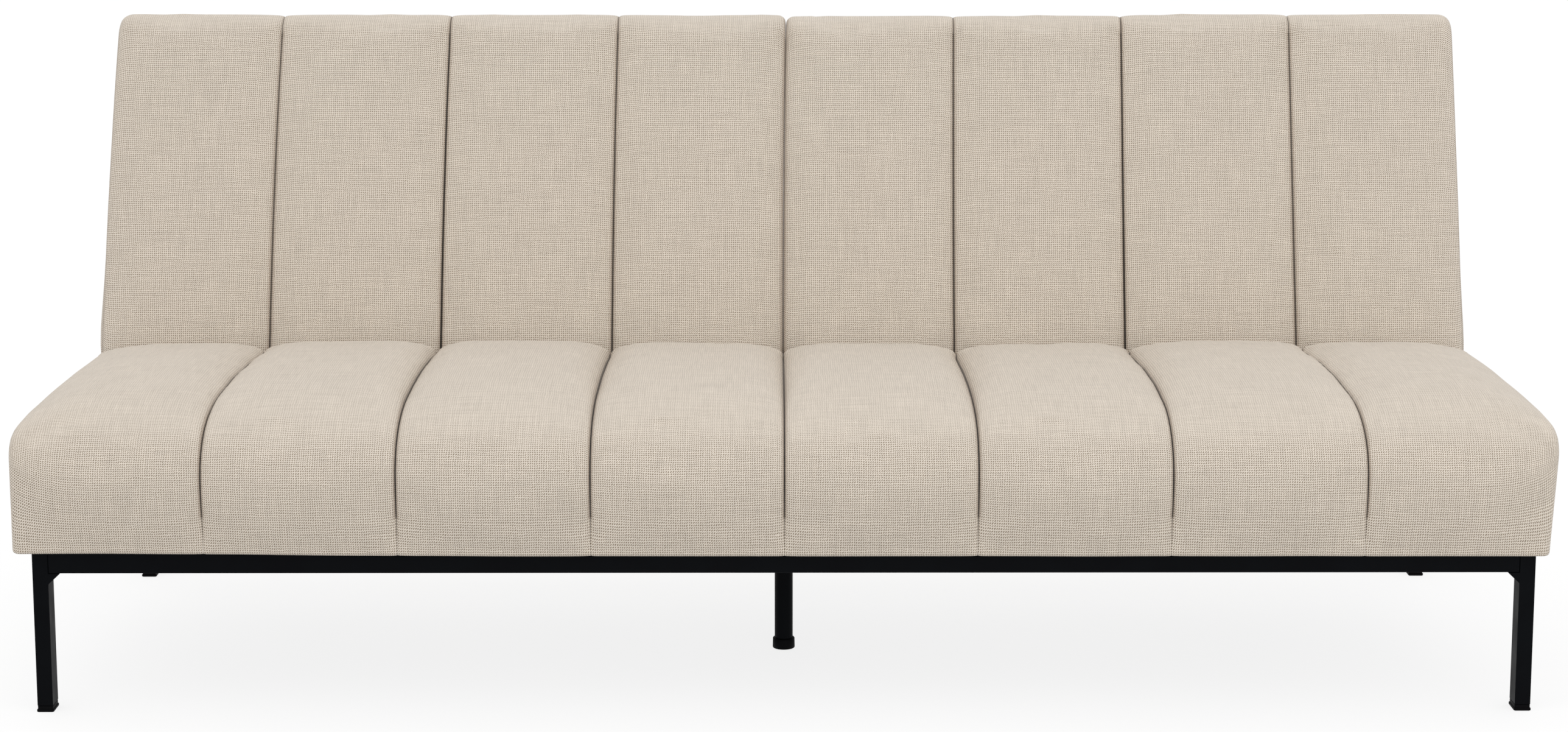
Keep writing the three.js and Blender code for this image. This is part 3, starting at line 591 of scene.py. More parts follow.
def cushion_map(points, stations, outline, form):
    """Two maps with a row for each corner of each face. The cloth map is where the cloth's own
    directions run, in metres: across is the length along x over the crown, measured from the middle of
    the face's channel, and along is the length walked round the outline; on an end both are plain
    depth and height. The seam map places the painted seam shade: the distance to the nearest seam,
    those round the end faces at the form's rims among them, and the share of the painted shade there."""
    steps = np.linalg.norm(np.diff(points, axis=0), axis=2)
    across = np.concatenate([np.zeros((1, points.shape[1])), np.cumsum(steps, axis=0)])
    middles = stations["middles"]
    station = np.abs(stations["x"][:, None] - middles[None, :]).argmin(axis=0)
    start = across[station, :] - middles[:, None]
    rings, around = points.shape[:2]
    j, i = np.meshgrid(np.arange(rings - 1), np.arange(around), indexing="ij")
    channel = stations["channel"][j]
    on_end = (stations["shrink"][j] < 1) | (stations["shrink"][j + 1] < 1)
    distance = np.abs(stations["x"][:, None] - stations["seams"][None, :])
    seam_shade = np.array(form.get("seam_shades", np.ones(len(stations["seams"]))))[distance.argmin(axis=1)]
    distance = distance.min(axis=1)
    face_reach = np.abs(outline["points"] - outline["points"].mean(axis=0)).min() + end_face_spare
    on_face = (1 - stations["shrink"]) * face_reach
    # Painted shade also runs along the end faces' rims, at the outer ends and at the gap between the
    # back halves
    for rim in form.get("rims", ()):
        from_rim = np.abs(stations["x"] - rim) + on_face
        distance = np.minimum(distance, from_rim + rim_seam_inset)
    slit = outline["slit"]
    cloth, seam = [], []
    for dj, di in ((0, 0), (0, 1), (1, 1), (1, 0)):
        ring, at = j + dj, (i + di) % around
        u = across[ring, at] - start[channel, at]
        v = outline["walked"][i + di]
        u = np.where(on_end, points[ring, at, 1], u)
        v = np.where(on_end, points[ring, at, 2], v)
        cloth.append(np.stack([u, v], axis=2))
        seam.append(np.stack([distance[ring], slit[at] * seam_shade[ring]], axis=2))
    return {
        "cloth": np.stack(cloth, axis=2).reshape(-1, 2),
        "seam": np.stack(seam, axis=2).reshape(-1, 2),
    }


def closed_grid(rings, around):
    """Faces of a tube of rings closed by a fan at each end: quads, then two rows of triangles to
    the two end points, which follow the rings' points."""
    j, i = np.meshgrid(np.arange(rings - 1), np.arange(around), indexing="ij")
    a = j * around + i
    b = j * around + (i + 1) % around
    quads = np.stack([a, b, b + around, a + around], axis=2).reshape(-1, 4)
    first = np.arange(around)
    after = (first + 1) % around
    last = (rings - 1) * around
    count = rings * around
    start_fan = np.stack([np.full(around, count), after, first], axis=1)
    end_fan = np.stack([np.full(around, count + 1), last + first, last + after], axis=1)
    return quads, np.vstack([start_fan, end_fan])


def add_object(name, data):
    """A new object of the scene."""
    added = bpy.data.objects.new(name, data)
    bpy.context.scene.collection.objects.link(added)
    return added


def make_mesh(name, vertices, faces, corner_maps=None):
    """A mesh object at the origin. Each map that there is has a row for each face corner."""
    mesh = bpy.data.meshes.new(name)
    mesh.from_pydata(np.asarray(vertices).tolist(), [], faces)
    for label, corner_map in (corner_maps or {}).items():
        layer = mesh.uv_layers.new(name=label)
        layer.data.foreach_set("uv", np.asarray(corner_map, np.float32).ravel())
    mesh.polygons.foreach_set("use_smooth", np.ones(len(mesh.polygons), bool))
    mesh.update()
    return add_object(name, mesh)


def flat_maps(vertices, faces):
    """Both maps of flat faces: the cloth map shears x and depth by height, and no seam is near."""
    flat = vertices[np.concatenate([np.array(face) for face in faces])]
    return {"cloth": flat[:, :2] + flat[:, 2:], "seam": np.tile(no_seam, (len(flat), 1))}


def coarse_rows(count, kept):
    """The numbers of the rows a coarse step apart, with the last one and the kept ones, in order."""
    numbers = np.concatenate([np.arange(0, count, coarse_step), [count - 1], kept])
    return np.unique(numbers.astype(int))


def refined(moved, rows, count):
    """Moves of some rows, carried to all of count rows by straight interpolation between them."""
    share = np.interp(np.arange(count), rows, np.arange(len(rows)))
    low = np.minimum(share.astype(int), len(rows) - 2)
    part = (share - low)[:, None, None]
    return moved[low] * (1 - part) + moved[low + 1] * part


def swollen(points, stations, outline):
    """The points moved as a cloth simulation moves a coarse copy of them. The seams, the ends and
    what the cushion stands on are pinned, and even pressure swells the rest. The coarse grid's
    moves, no longer than the swell limit, are carried to the fine grid by straight interpolation
    along both of its directions."""
    rings, around = points.shape[:2]
    at_seam, at_end = stations["seam_share"] > 0.999, stations["end_share"] > 0.9
    firm_ring = at_seam | at_end | (stations["shrink"] < 1)
    firm_place = outline["groove"] < crease_start
    rows = coarse_rows(rings, np.flatnonzero(firm_ring))
    columns = coarse_rows(around, [])
    coarse = points[np.ix_(rows, columns)]
    quads, fans = closed_grid(len(rows), len(columns))
    poles = coarse[[0, -1]].mean(axis=1)
    start = np.vstack([coarse.reshape(-1, 3), poles])
    copy = make_mesh("swelling_copy", start, quads.tolist() + fans.tolist())
    pinned = (firm_ring[rows][:, None] | firm_place[columns][None, :]).ravel()
    group = copy.vertex_groups.new(name="pinned")
    group.add([*np.flatnonzero(pinned).tolist(), len(start) - 2, len(start) - 1], 1.0, "REPLACE")
    cloth = copy.modifiers.new("cloth", "CLOTH")
    cloth.settings.vertex_group_mass = "pinned"
    cloth.settings.use_pressure = True
    cloth.settings.uniform_pressure_force = cloth_pressure
    cloth.settings.tension_stiffness = cloth_tension
    cloth.settings.compression_stiffness = cloth_tension
    cloth.settings.effector_weights.gravity = 0
    cloth.point_cache.frame_start = 1
    cloth.point_cache.frame_end = cloth_frames
    for number in range(1, cloth_frames + 1):
        bpy.context.scene.frame_set(number)
    swelled = copy.evaluated_get(bpy.context.evaluated_depsgraph_get()).data
    end = np.empty(len(swelled.vertices) * 3)
    swelled.vertices.foreach_get("co", end)
    moved = (end.reshape(-1, 3) - start)[:-2]
    length = np.linalg.norm(moved, axis=1, keepdims=True)
    moved *= np.minimum(1, swell_limit / np.maximum(length, 1e-9))
    moved = refined(moved.reshape(len(rows), len(columns), 3), rows, rings)
    bpy.data.objects.remove(copy)
    bpy.context.scene.frame_set(1)
    return points + refined(moved.swapaxes(0, 1), columns, around).swapaxes(0, 1)


def make_cushion(name, outline, end_outline, stations, form, place):
    """A quilted cushion: its grid, closed at both ends, carried into the row frame by place."""
    simulated = form.get("simulated", False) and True
    points = cushion_surface(outline, end_outline, stations, form, sunk_depth if simulated else 0)
    if simulated:
        points = swollen(points, stations, outline)
    rings, around = points.shape[:2]
    quads, fans = closed_grid(rings, around)
    poles = points[[0, -1]].mean(axis=1)
    vertices = np.vstack([points.reshape(-1, 3), poles])
    maps = cushion_map(points, stations, outline, form)
    fan_corners = vertices[fans.ravel()][:, 1:]
    maps["cloth"] = np.concatenate([maps["cloth"], fan_corners])
    maps["seam"] = np.concatenate([maps["seam"], np.tile(no_seam, (len(fan_corners), 1))])
    return make_mesh(name, place(vertices), quads.tolist() + fans.tolist(), maps)


def make_prism(name, outline, span, place):
    """A solid with one section, an outline that turns anticlockwise, all along x, and flat ends."""
    count = len(outline)
    low = np.column_stack([np.full(count, span[0]), outline])
    high = np.column_stack([np.full(count, span[1]), outline])
    i = np.arange(count)
    after = (i + 1) % count
    sides = np.stack([i, after, after + count, i + count], axis=1)
    faces = sides.tolist() + [i[::-1].tolist(), (i + count).tolist()]
    vertices = np.vstack([low, high])
    return make_mesh(name, place(vertices), faces, flat_maps(vertices, faces))


def block_outline(first, second, radius):
    """A rectangle from (low, high) ranges, its low first and high second corner rounded."""
    return np.vstack([
        straight((first[1], second[0]), (first[1], second[1]), 1),
        straight((first[1], second[1]), (first[0] + radius, second[1]), 1),
        arc((first[0] + radius, second[1] - radius), radius, math.pi / 2, math.pi, 12),
        straight((first[0], second[1] - radius), (first[0], second[0]), 1),
        straight((first[0], second[0]), (first[1], second[0]), 1),
    ])


def seat_place(points):
    """From (x, depth, height) to the row frame: the depth starts at the seat's front."""
    return points + np.array([0, seat_front, 0])


back_corner = hinge_point - Vector((
    0,
    pivot_rise * math.sin(back_lean) + pivot_inset * math.cos(back_lean),
    pivot_rise * math.cos(back_lean) - pivot_inset * math.sin(back_lean),
))


def back_place(points):
    """From (x, t, l) to the row frame: the upright back turned back by its lean, round the corner
    where its front and bottom faces would meet."""
    x, t, up = np.moveaxis(np.asarray(points, float), -1, 0)
    cosine, sine = math.cos(back_lean), math.sin(back_lean)
    y = back_corner.y + t * cosine + up * sine
    z = back_corner.z - t * sine + up * cosine
    return np.stack([x, y, z], axis=-1)


# Cuts

def make_block(name, lows, highs, place):
    """Boxes as one mesh, from their lowest and highest corners, carried into the row frame."""
    corner = np.array([[i, j, k] for i in (0, 1) for j in (0, 1) for k in (0, 1)])
    sides = np.array([
        [0, 1, 3, 2], [4, 6, 7, 5], [0, 4, 5, 1], [2, 3, 7, 6], [0, 2, 6, 4], [1, 5, 7, 3],
    ])
    vertices, faces = [], []
    for low, high in zip(lows, highs):
        faces.extend((sides + len(vertices)).tolist())
        vertices.extend(np.array(low) + corner * (np.array(high) - np.array(low)))
    vertices = np.array(vertices)
    return make_mesh(name, place(vertices), faces, flat_maps(vertices, faces))


def apply_modifiers(piece):
    """The piece's mesh as its modifiers leave it, with no modifier left."""
    graph = bpy.context.evaluated_depsgraph_get()
    mesh = bpy.data.meshes.new_from_object(piece.evaluated_get(graph))
    piece.modifiers.clear()
    piece.data = mesh


def cut_away(piece, cutter):
    """Cuts the cutter's volume out of the piece, and deletes the cutter."""
    modifier = piece.modifiers.new("cut", "BOOLEAN")
    modifier.operation = "DIFFERENCE"
    modifier.solver = "EXACT"
    modifier.object = cutter
    bpy.context.view_layer.update()
    apply_modifiers(piece)
    bpy.data.objects.remove(cutter)
    piece.data.set_sharp_from_angle(angle=soft_edge_angle)


def side_range(sign, inner, outer):
    """A range along x on one side of the sofa, from distances to the middle plane."""
    return (inner, outer) if sign > 0 else (-outer, -inner)


def pocket_boxes(sign):
    """The slots in a back half's lower rear corner that its two hinge arms come out of."""
    lows, highs = [], []
    for inner, outer in pocket_spans.values():
        x = side_range(sign, inner, outer)
        lows.append((x[0], pocket_inset, -cut_overrun))
        highs.append((x[1], back_thickness + cut_overrun, pocket_length))
    return lows, highs


# Materials

def find_node(tree, kind):
    """The node of a kind that a new tree starts with."""
    return next(node for node in tree.nodes if node.type == kind)


def new_material(name):
    """A material with its node tree and Principled shader."""
    material = bpy.data.materials.new(name)
    material.use_nodes = True
    tree = material.node_tree
    return material, tree, find_node(tree, "BSDF_PRINCIPLED")


def connect(tree, value, socket):
    """Links a socket, or writes a plain value."""
    if isinstance(value, bpy.types.NodeSocket):
        tree.links.new(value, socket)
    else:
        socket.default_value = value


def fill(tree, node, inputs):
    """Gives a node its inputs, each a plain value or a socket to link."""
    for name, value in inputs.items():
        connect(tree, value, node.inputs[name])


def new_node(tree, kind, inputs=None, **settings):
    """A node with its settings and inputs."""
    node = tree.nodes.new(kind)
    for name, value in settings.items():
        setattr(node, name, value)
    fill(tree, node, inputs or {})
    return node


def maths(tree, operation, first, second=0.0, third=0.0):
    """The output of a math node."""
    node = tree.nodes.new("ShaderNodeMath")
    node.operation = operation
    for value, socket in zip((first, second, third), node.inputs):
        connect(tree, value, socket)
    return node.outputs[0]


def noise(tree, vector, scale, detail=2.0, roughness=0.5):
    """The value of a noise texture, from 0 to 1."""
    inputs = {"Vector": vector, "Scale": scale, "Detail": detail, "Roughness": roughness}
    return new_node(tree, "ShaderNodeTexNoise", inputs).outputs["Fac"]


def stretched(tree, vector, scales):
    """A vector with each direction multiplied by its own scale."""
    return new_node(tree, "ShaderNodeMapping", {"Vector": vector, "Scale": scales}).outputs[0]


def ramp(tree, value, low, high, to_low=0.0, to_high=1.0):
    """A smooth step of value from low to high."""
    inputs = {"Value": value, "From Min": low, "From Max": high, "To Min": to_low, "To Max": to_high}
    node = new_node(tree, "ShaderNodeMapRange", inputs, interpolation_type="SMOOTHSTEP")
    return node.outputs["Result"]


def mix_colour(tree, share, first, second, blend="MIX"):
    """The colour output of a mix node."""
    node = new_node(tree, "ShaderNodeMix", data_type="RGBA", blend_type=blend)
    connect(tree, share, node.inputs[0])
    connect(tree, first, node.inputs[6])
    connect(tree, second, node.inputs[7])
    return node.outputs[2]


def add_relief(tree, shader, height, strength, distance):
    """Gives a shader a relief that is as deep as distance."""
    inputs = {"Height": height, "Strength": strength, "Distance": distance}
    fill(tree, shader, {"Normal": new_node(tree, "ShaderNodeBump", inputs).outputs[0]})


def body_place(tree):
    """The place on a piece in its own frame."""
    return new_node(tree, "ShaderNodeTexCoord").outputs["Object"]


def seen_plainly(tree):
    """1 for what the camera, a gloss or a glass sees, and 0 for light that is scattered."""
    path = new_node(tree, "ShaderNodeLightPath")
    seen = maths(tree, "MAXIMUM", path.outputs["Is Camera Ray"], path.outputs["Is Glossy Ray"])
    return maths(tree, "MAXIMUM", seen, path.outputs["Is Transmission Ray"])


def new_group(name, inputs, outputs):
    """A shader node group with named inputs and outputs, each with its kind of socket."""
    tree = bpy.data.node_groups.new(name, "ShaderNodeTree")
    for way, sockets in (("INPUT", inputs), ("OUTPUT", outputs)):
        for label, kind in sockets.items():
            tree.interface.new_socket(label, in_out=way, socket_type=f"NodeSocket{kind}")
    return tree, tree.nodes.new("NodeGroupInput"), tree.nodes.new("NodeGroupOutput")


def grey(value):
    """A grey in linear light."""
    return (value, value, value, 1.0)


def srgb(red, green, blue):
    """A colour written in display values from 0 to 255, as linear light."""
    channels = []
    for value in (red, green, blue):
        share = value / 255
        channels.append(share / 12.92 if share <= 0.04045 else ((share + 0.055) / 1.055)**2.4)
    return (*channels, 1.0)


def centred(tree, value):
    """A value from 0 to 1 as one from -0.5 to 0.5."""
    return maths(tree, "SUBTRACT", value, 0.5)


def wave(tree, value, half_turns):
    """The cosine of a value that runs through so many half turns for each 1."""
    return maths(tree, "COSINE", maths(tree, "MULTIPLY", value, half_turns * math.pi))


def weave_group():
    """Plain weave of thick yarns. Three cosine waves, across, along and on the slant, have their sum
    highest once in each crossing, which makes a short slanted gap there; a checker of the first two
    makes every other gap steeper. Each gap is coloured darker, which is painted shade that falls
    between the yarns. Broad noises let the yarns drift, and a fine one jolts each crossing out of
    line. Each yarn is a little lighter or darker than the next, which is noise stretched along the
    yarns, and clouds are broad noise. The yarns' crests get painted highlights. Evened brings the
    gaps' painted shade to its mean, for faces seen from low down, where the raised yarns hide their
    gaps."""
    tree, inside, outside = new_group(
        "plain_weave",
        {
            "Cloth": "Vector", "Yarn": "Color", "Gap": "Color", "Yarn Change": "Float",
            "Clouds": "Float", "Evened": "Float",
        },
        {"Color": "Color", "Height": "Float"},
    )
    cloth = inside.outputs["Cloth"]

    def add(total, value, times):
        """The total with so many times the value added to it."""
        return maths(tree, "MULTIPLY_ADD", value, times, total)

    def even_noise(cells, detail, roughness=0.5):
        """Noise on the cloth from -0.5 to 0.5, stretched where it has cells for each direction."""
        if isinstance(cells, tuple):
            return centred(tree, noise(tree, stretched(tree, cloth, cells), 1.0, detail, roughness))
        return centred(tree, noise(tree, cloth, cells, detail, roughness))

    parts = new_node(tree, "ShaderNodeSeparateXYZ", {"Vector": cloth})
    u = maths(tree, "DIVIDE", parts.outputs[0], yarn_pitch_across)
    v = maths(tree, "DIVIDE", parts.outputs[1], yarn_pitch_along)
    jolts = even_noise(jolt_cells, 1.0)
    u = add(add(u, even_noise(across_drift_cells, 3.0), across_drift), jolts, jolt)
    v = add(add(v, jolts, -jolt), even_noise(along_drift_cells, 3.0), 1.0)
    checker = maths(tree, "MULTIPLY", wave(tree, u, 1), wave(tree, v, 1))
    steep = add(1.0, checker, checker_share)
    level = maths(tree, "MULTIPLY", add(1.0, checker, -checker_share), wave(tree, v, 2))
    level = add(level, steep, wave(tree, u, 2))
    level = add(level, wave(tree, maths(tree, "ADD", u, v), 2), slant_share)
    fibres = even_noise(fibre_cells, 3.0, 0.7)
    level = add(level, fibres, fibre_share)
    # The darker gap colour is painted shade that falls between the yarns
    gaps = ramp(tree, level, *gap_levels)
    gaps = add(gaps, maths(tree, "SUBTRACT", mean_gap, gaps), inside.outputs["Evened"])
    # Painted highlights on the yarns' crests
    crest_highlights = ramp(tree, level, *crest_highlight_levels)
    streaks = maths(tree, "ADD", even_noise(warp_cells, 3.0, 0.6), even_noise(weft_cells, 3.0, 0.6))
    light = add(1.0, streaks, inside.outputs["Yarn Change"])
    light = add(light, even_noise(cloud_cells, 3.0), inside.outputs["Clouds"])
    light = add(add(light, fibres, fibre_light), crest_highlights, crest_highlight)
    colour = mix_colour(tree, gaps, inside.outputs["Yarn"], inside.outputs["Gap"])
    shade = new_node(tree, "ShaderNodeCombineColor", {"Red": light, "Green": light, "Blue": light})
    colour = mix_colour(tree, 1.0, colour, shade.outputs[0], "MULTIPLY")
    height = add(maths(tree, "MULTIPLY", fibres, fibre_height), gaps, -1.0)
    fill(tree, outside, {"Color": colour, "Height": height})
    return tree


plain_weave = weave_group()


def painted_seam_shade(tree, cloth, colour):
    """A cloth's colour with painted shade along its seams: a dark slit for the shade deep in the
    crease, whose edges wave with the yarns that meet there, and a brownish halo of painted shade
    beside it."""
    seam = new_node(tree, "ShaderNodeUVMap", uv_map="seam").outputs[0]
    parts = new_node(tree, "ShaderNodeSeparateXYZ", {"Vector": seam})
    distance, share = parts.outputs[0], parts.outputs[1]
    along = new_node(tree, "ShaderNodeSeparateXYZ", {"Vector": cloth}).outputs[1]
    teeth = wave(tree, along, 2 / yarn_pitch_along)
    edge = maths(tree, "MULTIPLY_ADD", share, shade_slit_growth, shade_slit_least)
    rim = maths(tree, "MULTIPLY_ADD", teeth, shade_slit_teeth, maths(tree, "ADD", edge, shade_slit_rim))
    slit = ramp(tree, distance, maths(tree, "MULTIPLY", edge, 0.5), rim, 1.0, 0.0)
    dark = maths(tree, "MULTIPLY_ADD", share, shade_slit_strength_growth, shade_slit_least_strength)
    halo = ramp(tree, distance, *shade_halo_reach, 1.0, 0.0)
    halo = maths(tree, "MULTIPLY", halo, ramp(tree, share, *shade_halo_slits, 0.0, shade_halo_share))
    # A brownish painted shade beside the crease
    colour = mix_colour(tree, halo, colour, srgb(120, 92, 66))
    # The dark slit is painted shade deep in the crease
    return mix_colour(tree, maths(tree, "MULTIPLY", slit, dark), colour, srgb(16, 10, 6))


def cloth_material(name, yarn, gap, change=0.31, clouds=0.08, sheen=0.15, shaded_seams=False):
    """Woven cloth that follows the piece's own map, with painted shade along its seams if shaded_seams
    is set. Where the piece faces up, the painted shade in the weave's gaps is evened to its mean, as
    the raised yarns hide their gaps from a low view."""
    material, tree, shader = new_material(name)
    cloth = new_node(tree, "ShaderNodeUVMap", uv_map="cloth").outputs[0]
    normal = new_node(tree, "ShaderNodeTexCoord").outputs["Normal"]
    facing_up = new_node(tree, "ShaderNodeSeparateXYZ", {"Vector": normal}).outputs[2]
    weave = new_node(tree, "ShaderNodeGroup", {
        "Cloth": cloth, "Yarn": yarn, "Gap": gap, "Yarn Change": change, "Clouds": clouds,
        "Evened": ramp(tree, facing_up, *upward_facings, 0.0, evened_share),
    }, node_tree=plain_weave)
    add_relief(tree, shader, weave.outputs["Height"], 0.7, 0.3 * MM)
    colour = weave.outputs["Color"]
    # Painted shade along the seams
    if shaded_seams:
        colour = painted_seam_shade(tree, cloth, colour)
    fill(tree, shader, {
        "Base Color": colour, "Roughness": 0.9, "Specular IOR Level": 0.15,
        "Sheen Weight": sheen, "Sheen Roughness": 0.5,
    })
    return material


def speckle_group():
    """The fine unevenness of a painted or moulded surface: two noises, a fine and a broad one."""
    tree, inside, outside = new_group(
        "fine_speckle",
        {"Place": "Vector", "Grain": "Float"},
        {"Fine": "Float", "Broad": "Float"},
    )
    place = inside.outputs["Place"]
    fine = noise(tree, place, inside.outputs["Grain"], 2.0)
    fill(tree, outside, {"Fine": fine, "Broad": noise(tree, place, broad_speckle_cells, 3.0)})
    return tree


fine_speckle = speckle_group()


def hard_material(name, colour, varied, roughness, metallic=0.0, grain=900.0, specular=0.5):
    """A painted, plated or moulded surface: colour and roughness drift with a broad noise, and a
    fine one gives the relief."""
    material, tree, shader = new_material(name)
    inputs = {"Place": body_place(tree), "Grain": grain}
    speckle = new_node(tree, "ShaderNodeGroup", inputs, node_tree=fine_speckle)
    drift = ramp(tree, speckle.outputs["Broad"], 0.3, 0.7)
    fill(tree, shader, {
        "Base Color": mix_colour(tree, drift, colour, varied),
        "Roughness": maths(tree, "MULTIPLY_ADD", drift, 2 * gloss_drift, roughness - gloss_drift),
        "Metallic": metallic, "Specular IOR Level": specular,
    })
    add_relief(tree, shader, speckle.outputs["Fine"], 0.5, 0.02 * MM)
    return material


def wood_material():
    """Sawn softwood: rings that drift along the grain, stretched a long way along x."""
    material, tree, shader = new_material("sawn_softwood")
    grain = noise(tree, stretched(tree, body_place(tree), (5.0, 130.0, 130.0)), 1.0, 4.0, 0.6)
    colour = mix_colour(tree, ramp(tree, grain, 0.35, 0.7), srgb(214, 182, 134), srgb(160, 118, 72))
    fill(tree, shader, {"Base Color": colour, "Roughness": 0.75})
    add_relief(tree, shader, grain, 0.4, 0.2 * MM)
    return material


def foam_material():
    """Cut foam: small cells in a pale yellow."""
    material, tree, shader = new_material("cut_foam")
    inputs = {"Vector": body_place(tree), "Scale": 480.0}
    cells = new_node(tree, "ShaderNodeTexVoronoi", inputs).outputs["Distance"]
    colour = mix_colour(tree, ramp(tree, cells, 0.0, 0.7), srgb(214, 196, 138), srgb(243, 232, 190))
    fill(tree, shader, {"Base Color": colour, "Roughness": 0.95})
    add_relief(tree, shader, cells, 0.6, 0.6 * MM)
    return material


cover_cloth = cloth_material("linen_look_cloth", srgb(232, 222, 209), srgb(133, 117, 97), shaded_seams=True)
rear_cloth = cloth_material("linen_look_rear_cloth", srgb(233, 221, 204), srgb(137, 119, 96))
dust_cloth = cloth_material("black_dust_cloth", srgb(40, 39, 38), srgb(18, 18, 18), 0.3, 0.2, 0.0)
black_paint = hard_material(
    "black_satin_paint", srgb(6, 7, 10), srgb(9, 11, 14), 0.5, specular=0.05,
)
zinc_plate = hard_material(
    "zinc_plate", srgb(168, 170, 171), srgb(188, 189, 186), 0.36, metallic=1.0, grain=500.0,
)
spring_steel = hard_material(
    "blued_spring_steel", srgb(92, 96, 102), srgb(112, 114, 118), 0.3, metallic=1.0, grain=700.0,
)
foot_plastic = hard_material(
    "black_foot_plastic", srgb(6, 6, 8), srgb(9, 9, 11), 0.6, grain=1400.0, specular=0.06,
)
wood = wood_material()
foam = foam_material()


def dress(piece, material, body, slot, *nodes):
    """Gives a piece its material and its body, and hides the nodes that it stands for. The slot is not
    used.
    """
    piece.data.materials.clear()
    piece.data.materials.append(material)
    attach(piece, body)
    if nodes:
        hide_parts(*nodes)


# Seat cushion

seams = np.arange(1, channel_count) * channel_pitch - sofa_half_width
steps_across = 18
seat_section = seat_outline()
seat_stations = quilt_stations(
    (-cushion_half_width, cushion_half_width), seams, (seat_end_round, seat_end_round),
    (False, False), seat_end_bulges, steps_across,
)
seat_form = {
    "core": (seat_depth / 2, seat_base + seat_core_rise), "drawn": seat_drawn, "seed": 3,
    "lifts": channel_lifts, "rises": hem_drops, "stands": seat_end_stands,
    "depths": seat_seam_depths, "seam_shades": seat_seam_shades, "simulated": True,
}
seat_cushion = make_cushion(
    "seat_cushion_cover", seat_section, seat_end_outline(), seat_stations, seat_form, seat_place,
)
foam_low, foam_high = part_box("seat_foam")
hollow_half_width = sofa_half_width - seat_hollow_end
cut_away(seat_cushion, make_prism(
    "seat_hollow",
    block_outline((seat_hollow_front, seat_depth - seat_hollow_rear),
                  (seat_base - cut_overrun, foam_high.z + seated_gap), seat_foam_radius),
    (-hollow_half_width, hollow_half_width), seat_place,
))
dress(seat_cushion, cover_cloth, "base", "cover_fabric", "seat_cover")

# Back cushions

back_section = back_outline()
for side, sign in SIDES.items():
    half_seams = seams[seams * sign > MM]
    rounds = (back_inner_round, back_outer_round)[::sign]
    stations = quilt_stations(
        side_range(sign, back_gap / 2, cushion_half_width), half_seams, rounds,
        (sign > 0, sign < 0), (back_inner_bulge, back_outer_bulge)[::sign], steps_across,
    )
    stations["drawn"][stations["x"] * sign < channel_pitch / 2] *= back_inner_drawn
    back_form = {
        "core": (back_thickness / 2, back_length / 2), "drawn": back_drawn, "seed": 11 + sign,
        "rises": back_top_rises[side], "seam_shades": back_seam_shades[side], "slump": back_slumps[side],
        # Painted seam shade also runs along both rims of the half's end faces
        "outer": sign, "rims": (sign * cushion_half_width, sign * back_gap / 2), "simulated": True,
    }
    cushion = make_cushion(
        f"back_cushion_cover_{side}", back_section, back_section, stations, back_form, back_place,
    )
    x = side_range(sign, back_hollow_inner, sofa_half_width - back_hollow_outer)
    hollow = make_prism("back_hollow", block_outline(
        (back_hollow_front, back_thickness + cut_overrun),
        (back_hollow_ends, back_length - back_hollow_ends), back_foam_radius,
    ), x, back_place)
    cut_away(cushion, hollow)
    cut_away(cushion, make_block("back_pockets", *pocket_boxes(sign), back_place))
    dress(cushion, cover_cloth, f"back_{side}", "cover_fabric", f"back_cover_{side}")

# Foam blocks

seat_foam_block = make_prism(
    "seat_foam_block",
    block_outline((foam_low.y - seat_front, foam_high.y - seat_front), (foam_low.z, foam_high.z),
                  seat_foam_radius - seated_gap),
    (foam_low.x, foam_high.x), seat_place,
)
dress(seat_foam_block, foam, "base", "foam", "seat_foam")
for side, sign in SIDES.items():
    low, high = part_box(f"back_foam_{side}")
    front = back_hollow_front + seated_gap
    ends = back_hollow_ends + seated_gap
    # The node lies turned by the lean, so its depth along y is its thickness times the lean's cosine
    # plus its length times the sine
    length = back_length - 2 * ends
    thickness = (high.y - low.y - length * math.sin(back_lean)) / math.cos(back_lean)
    block = make_prism(
        f"back_foam_block_{side}",
        block_outline((front, front + thickness), (ends, back_length - ends), back_foam_radius),
        (low.x, high.x), back_place,
    )
    cut_away(block, make_block("foam_pockets", *pocket_boxes(sign), back_place))
    dress(block, foam, f"back_{side}", "foam", f"back_foam_{side}")

# Rear panels


def panel_outline(thickness, ends):
    """The rear panel's section: a crowned rear face between two rounded edges, and a flat front.
    Points are (t, l)."""
    rear = back_thickness - seated_gap
    front = rear - thickness
    radius = thickness * rear_panel_edge_share
    low, high = ends, back_length - ends
    quarter = math.pi / 2
    return walk([
        (part, (0, 0), crown_powers["edge"], (0, 0)) for part in (
            straight((rear, low + radius), (rear, high - radius), 60),
            arc((rear - radius, high - radius), radius, 0, quarter, 6),
            straight((rear - radius, high), (front, high), 3),
            straight((front, high), (front, low), 40),
            straight((front, low), (rear - radius, low), 3),
            arc((rear - radius, low + radius), radius, -quarter, 0, 6),
        )
    ])


def crown_panel(panel, low, high, ends):
    """Swells a panel's rear face outwards, by the crown times one minus the fourth power of the
    share of the way to the sides, times the same of the way to the top and bottom."""
    mesh = panel.data
    flat = np.empty(len(mesh.vertices) * 3)
    mesh.vertices.foreach_get("co", flat)
    points = flat.reshape(-1, 3)
    cosine, sine = math.cos(back_lean), math.sin(back_lean)
    from_corner = points - np.array([0, back_corner.y, back_corner.z])
    t = from_corner[:, 1] * cosine - from_corner[:, 2] * sine
    up = from_corner[:, 1] * sine + from_corner[:, 2] * cosine
    across = (points[:, 0] - (low.x + high.x) / 2) / ((high.x - low.x) / 2)
    along = (up - back_length / 2) / (back_length / 2 - ends)
    crown = rear_panel_crown * (1 - across**4).clip(0) * (1 - along**4).clip(0)
    crown *= (t > back_thickness - rear_panel_thickness / 2)
    points += crown[:, None] * np.array([0, cosine, -sine])
    mesh.vertices.foreach_set("co", points.ravel())
    mesh.update()


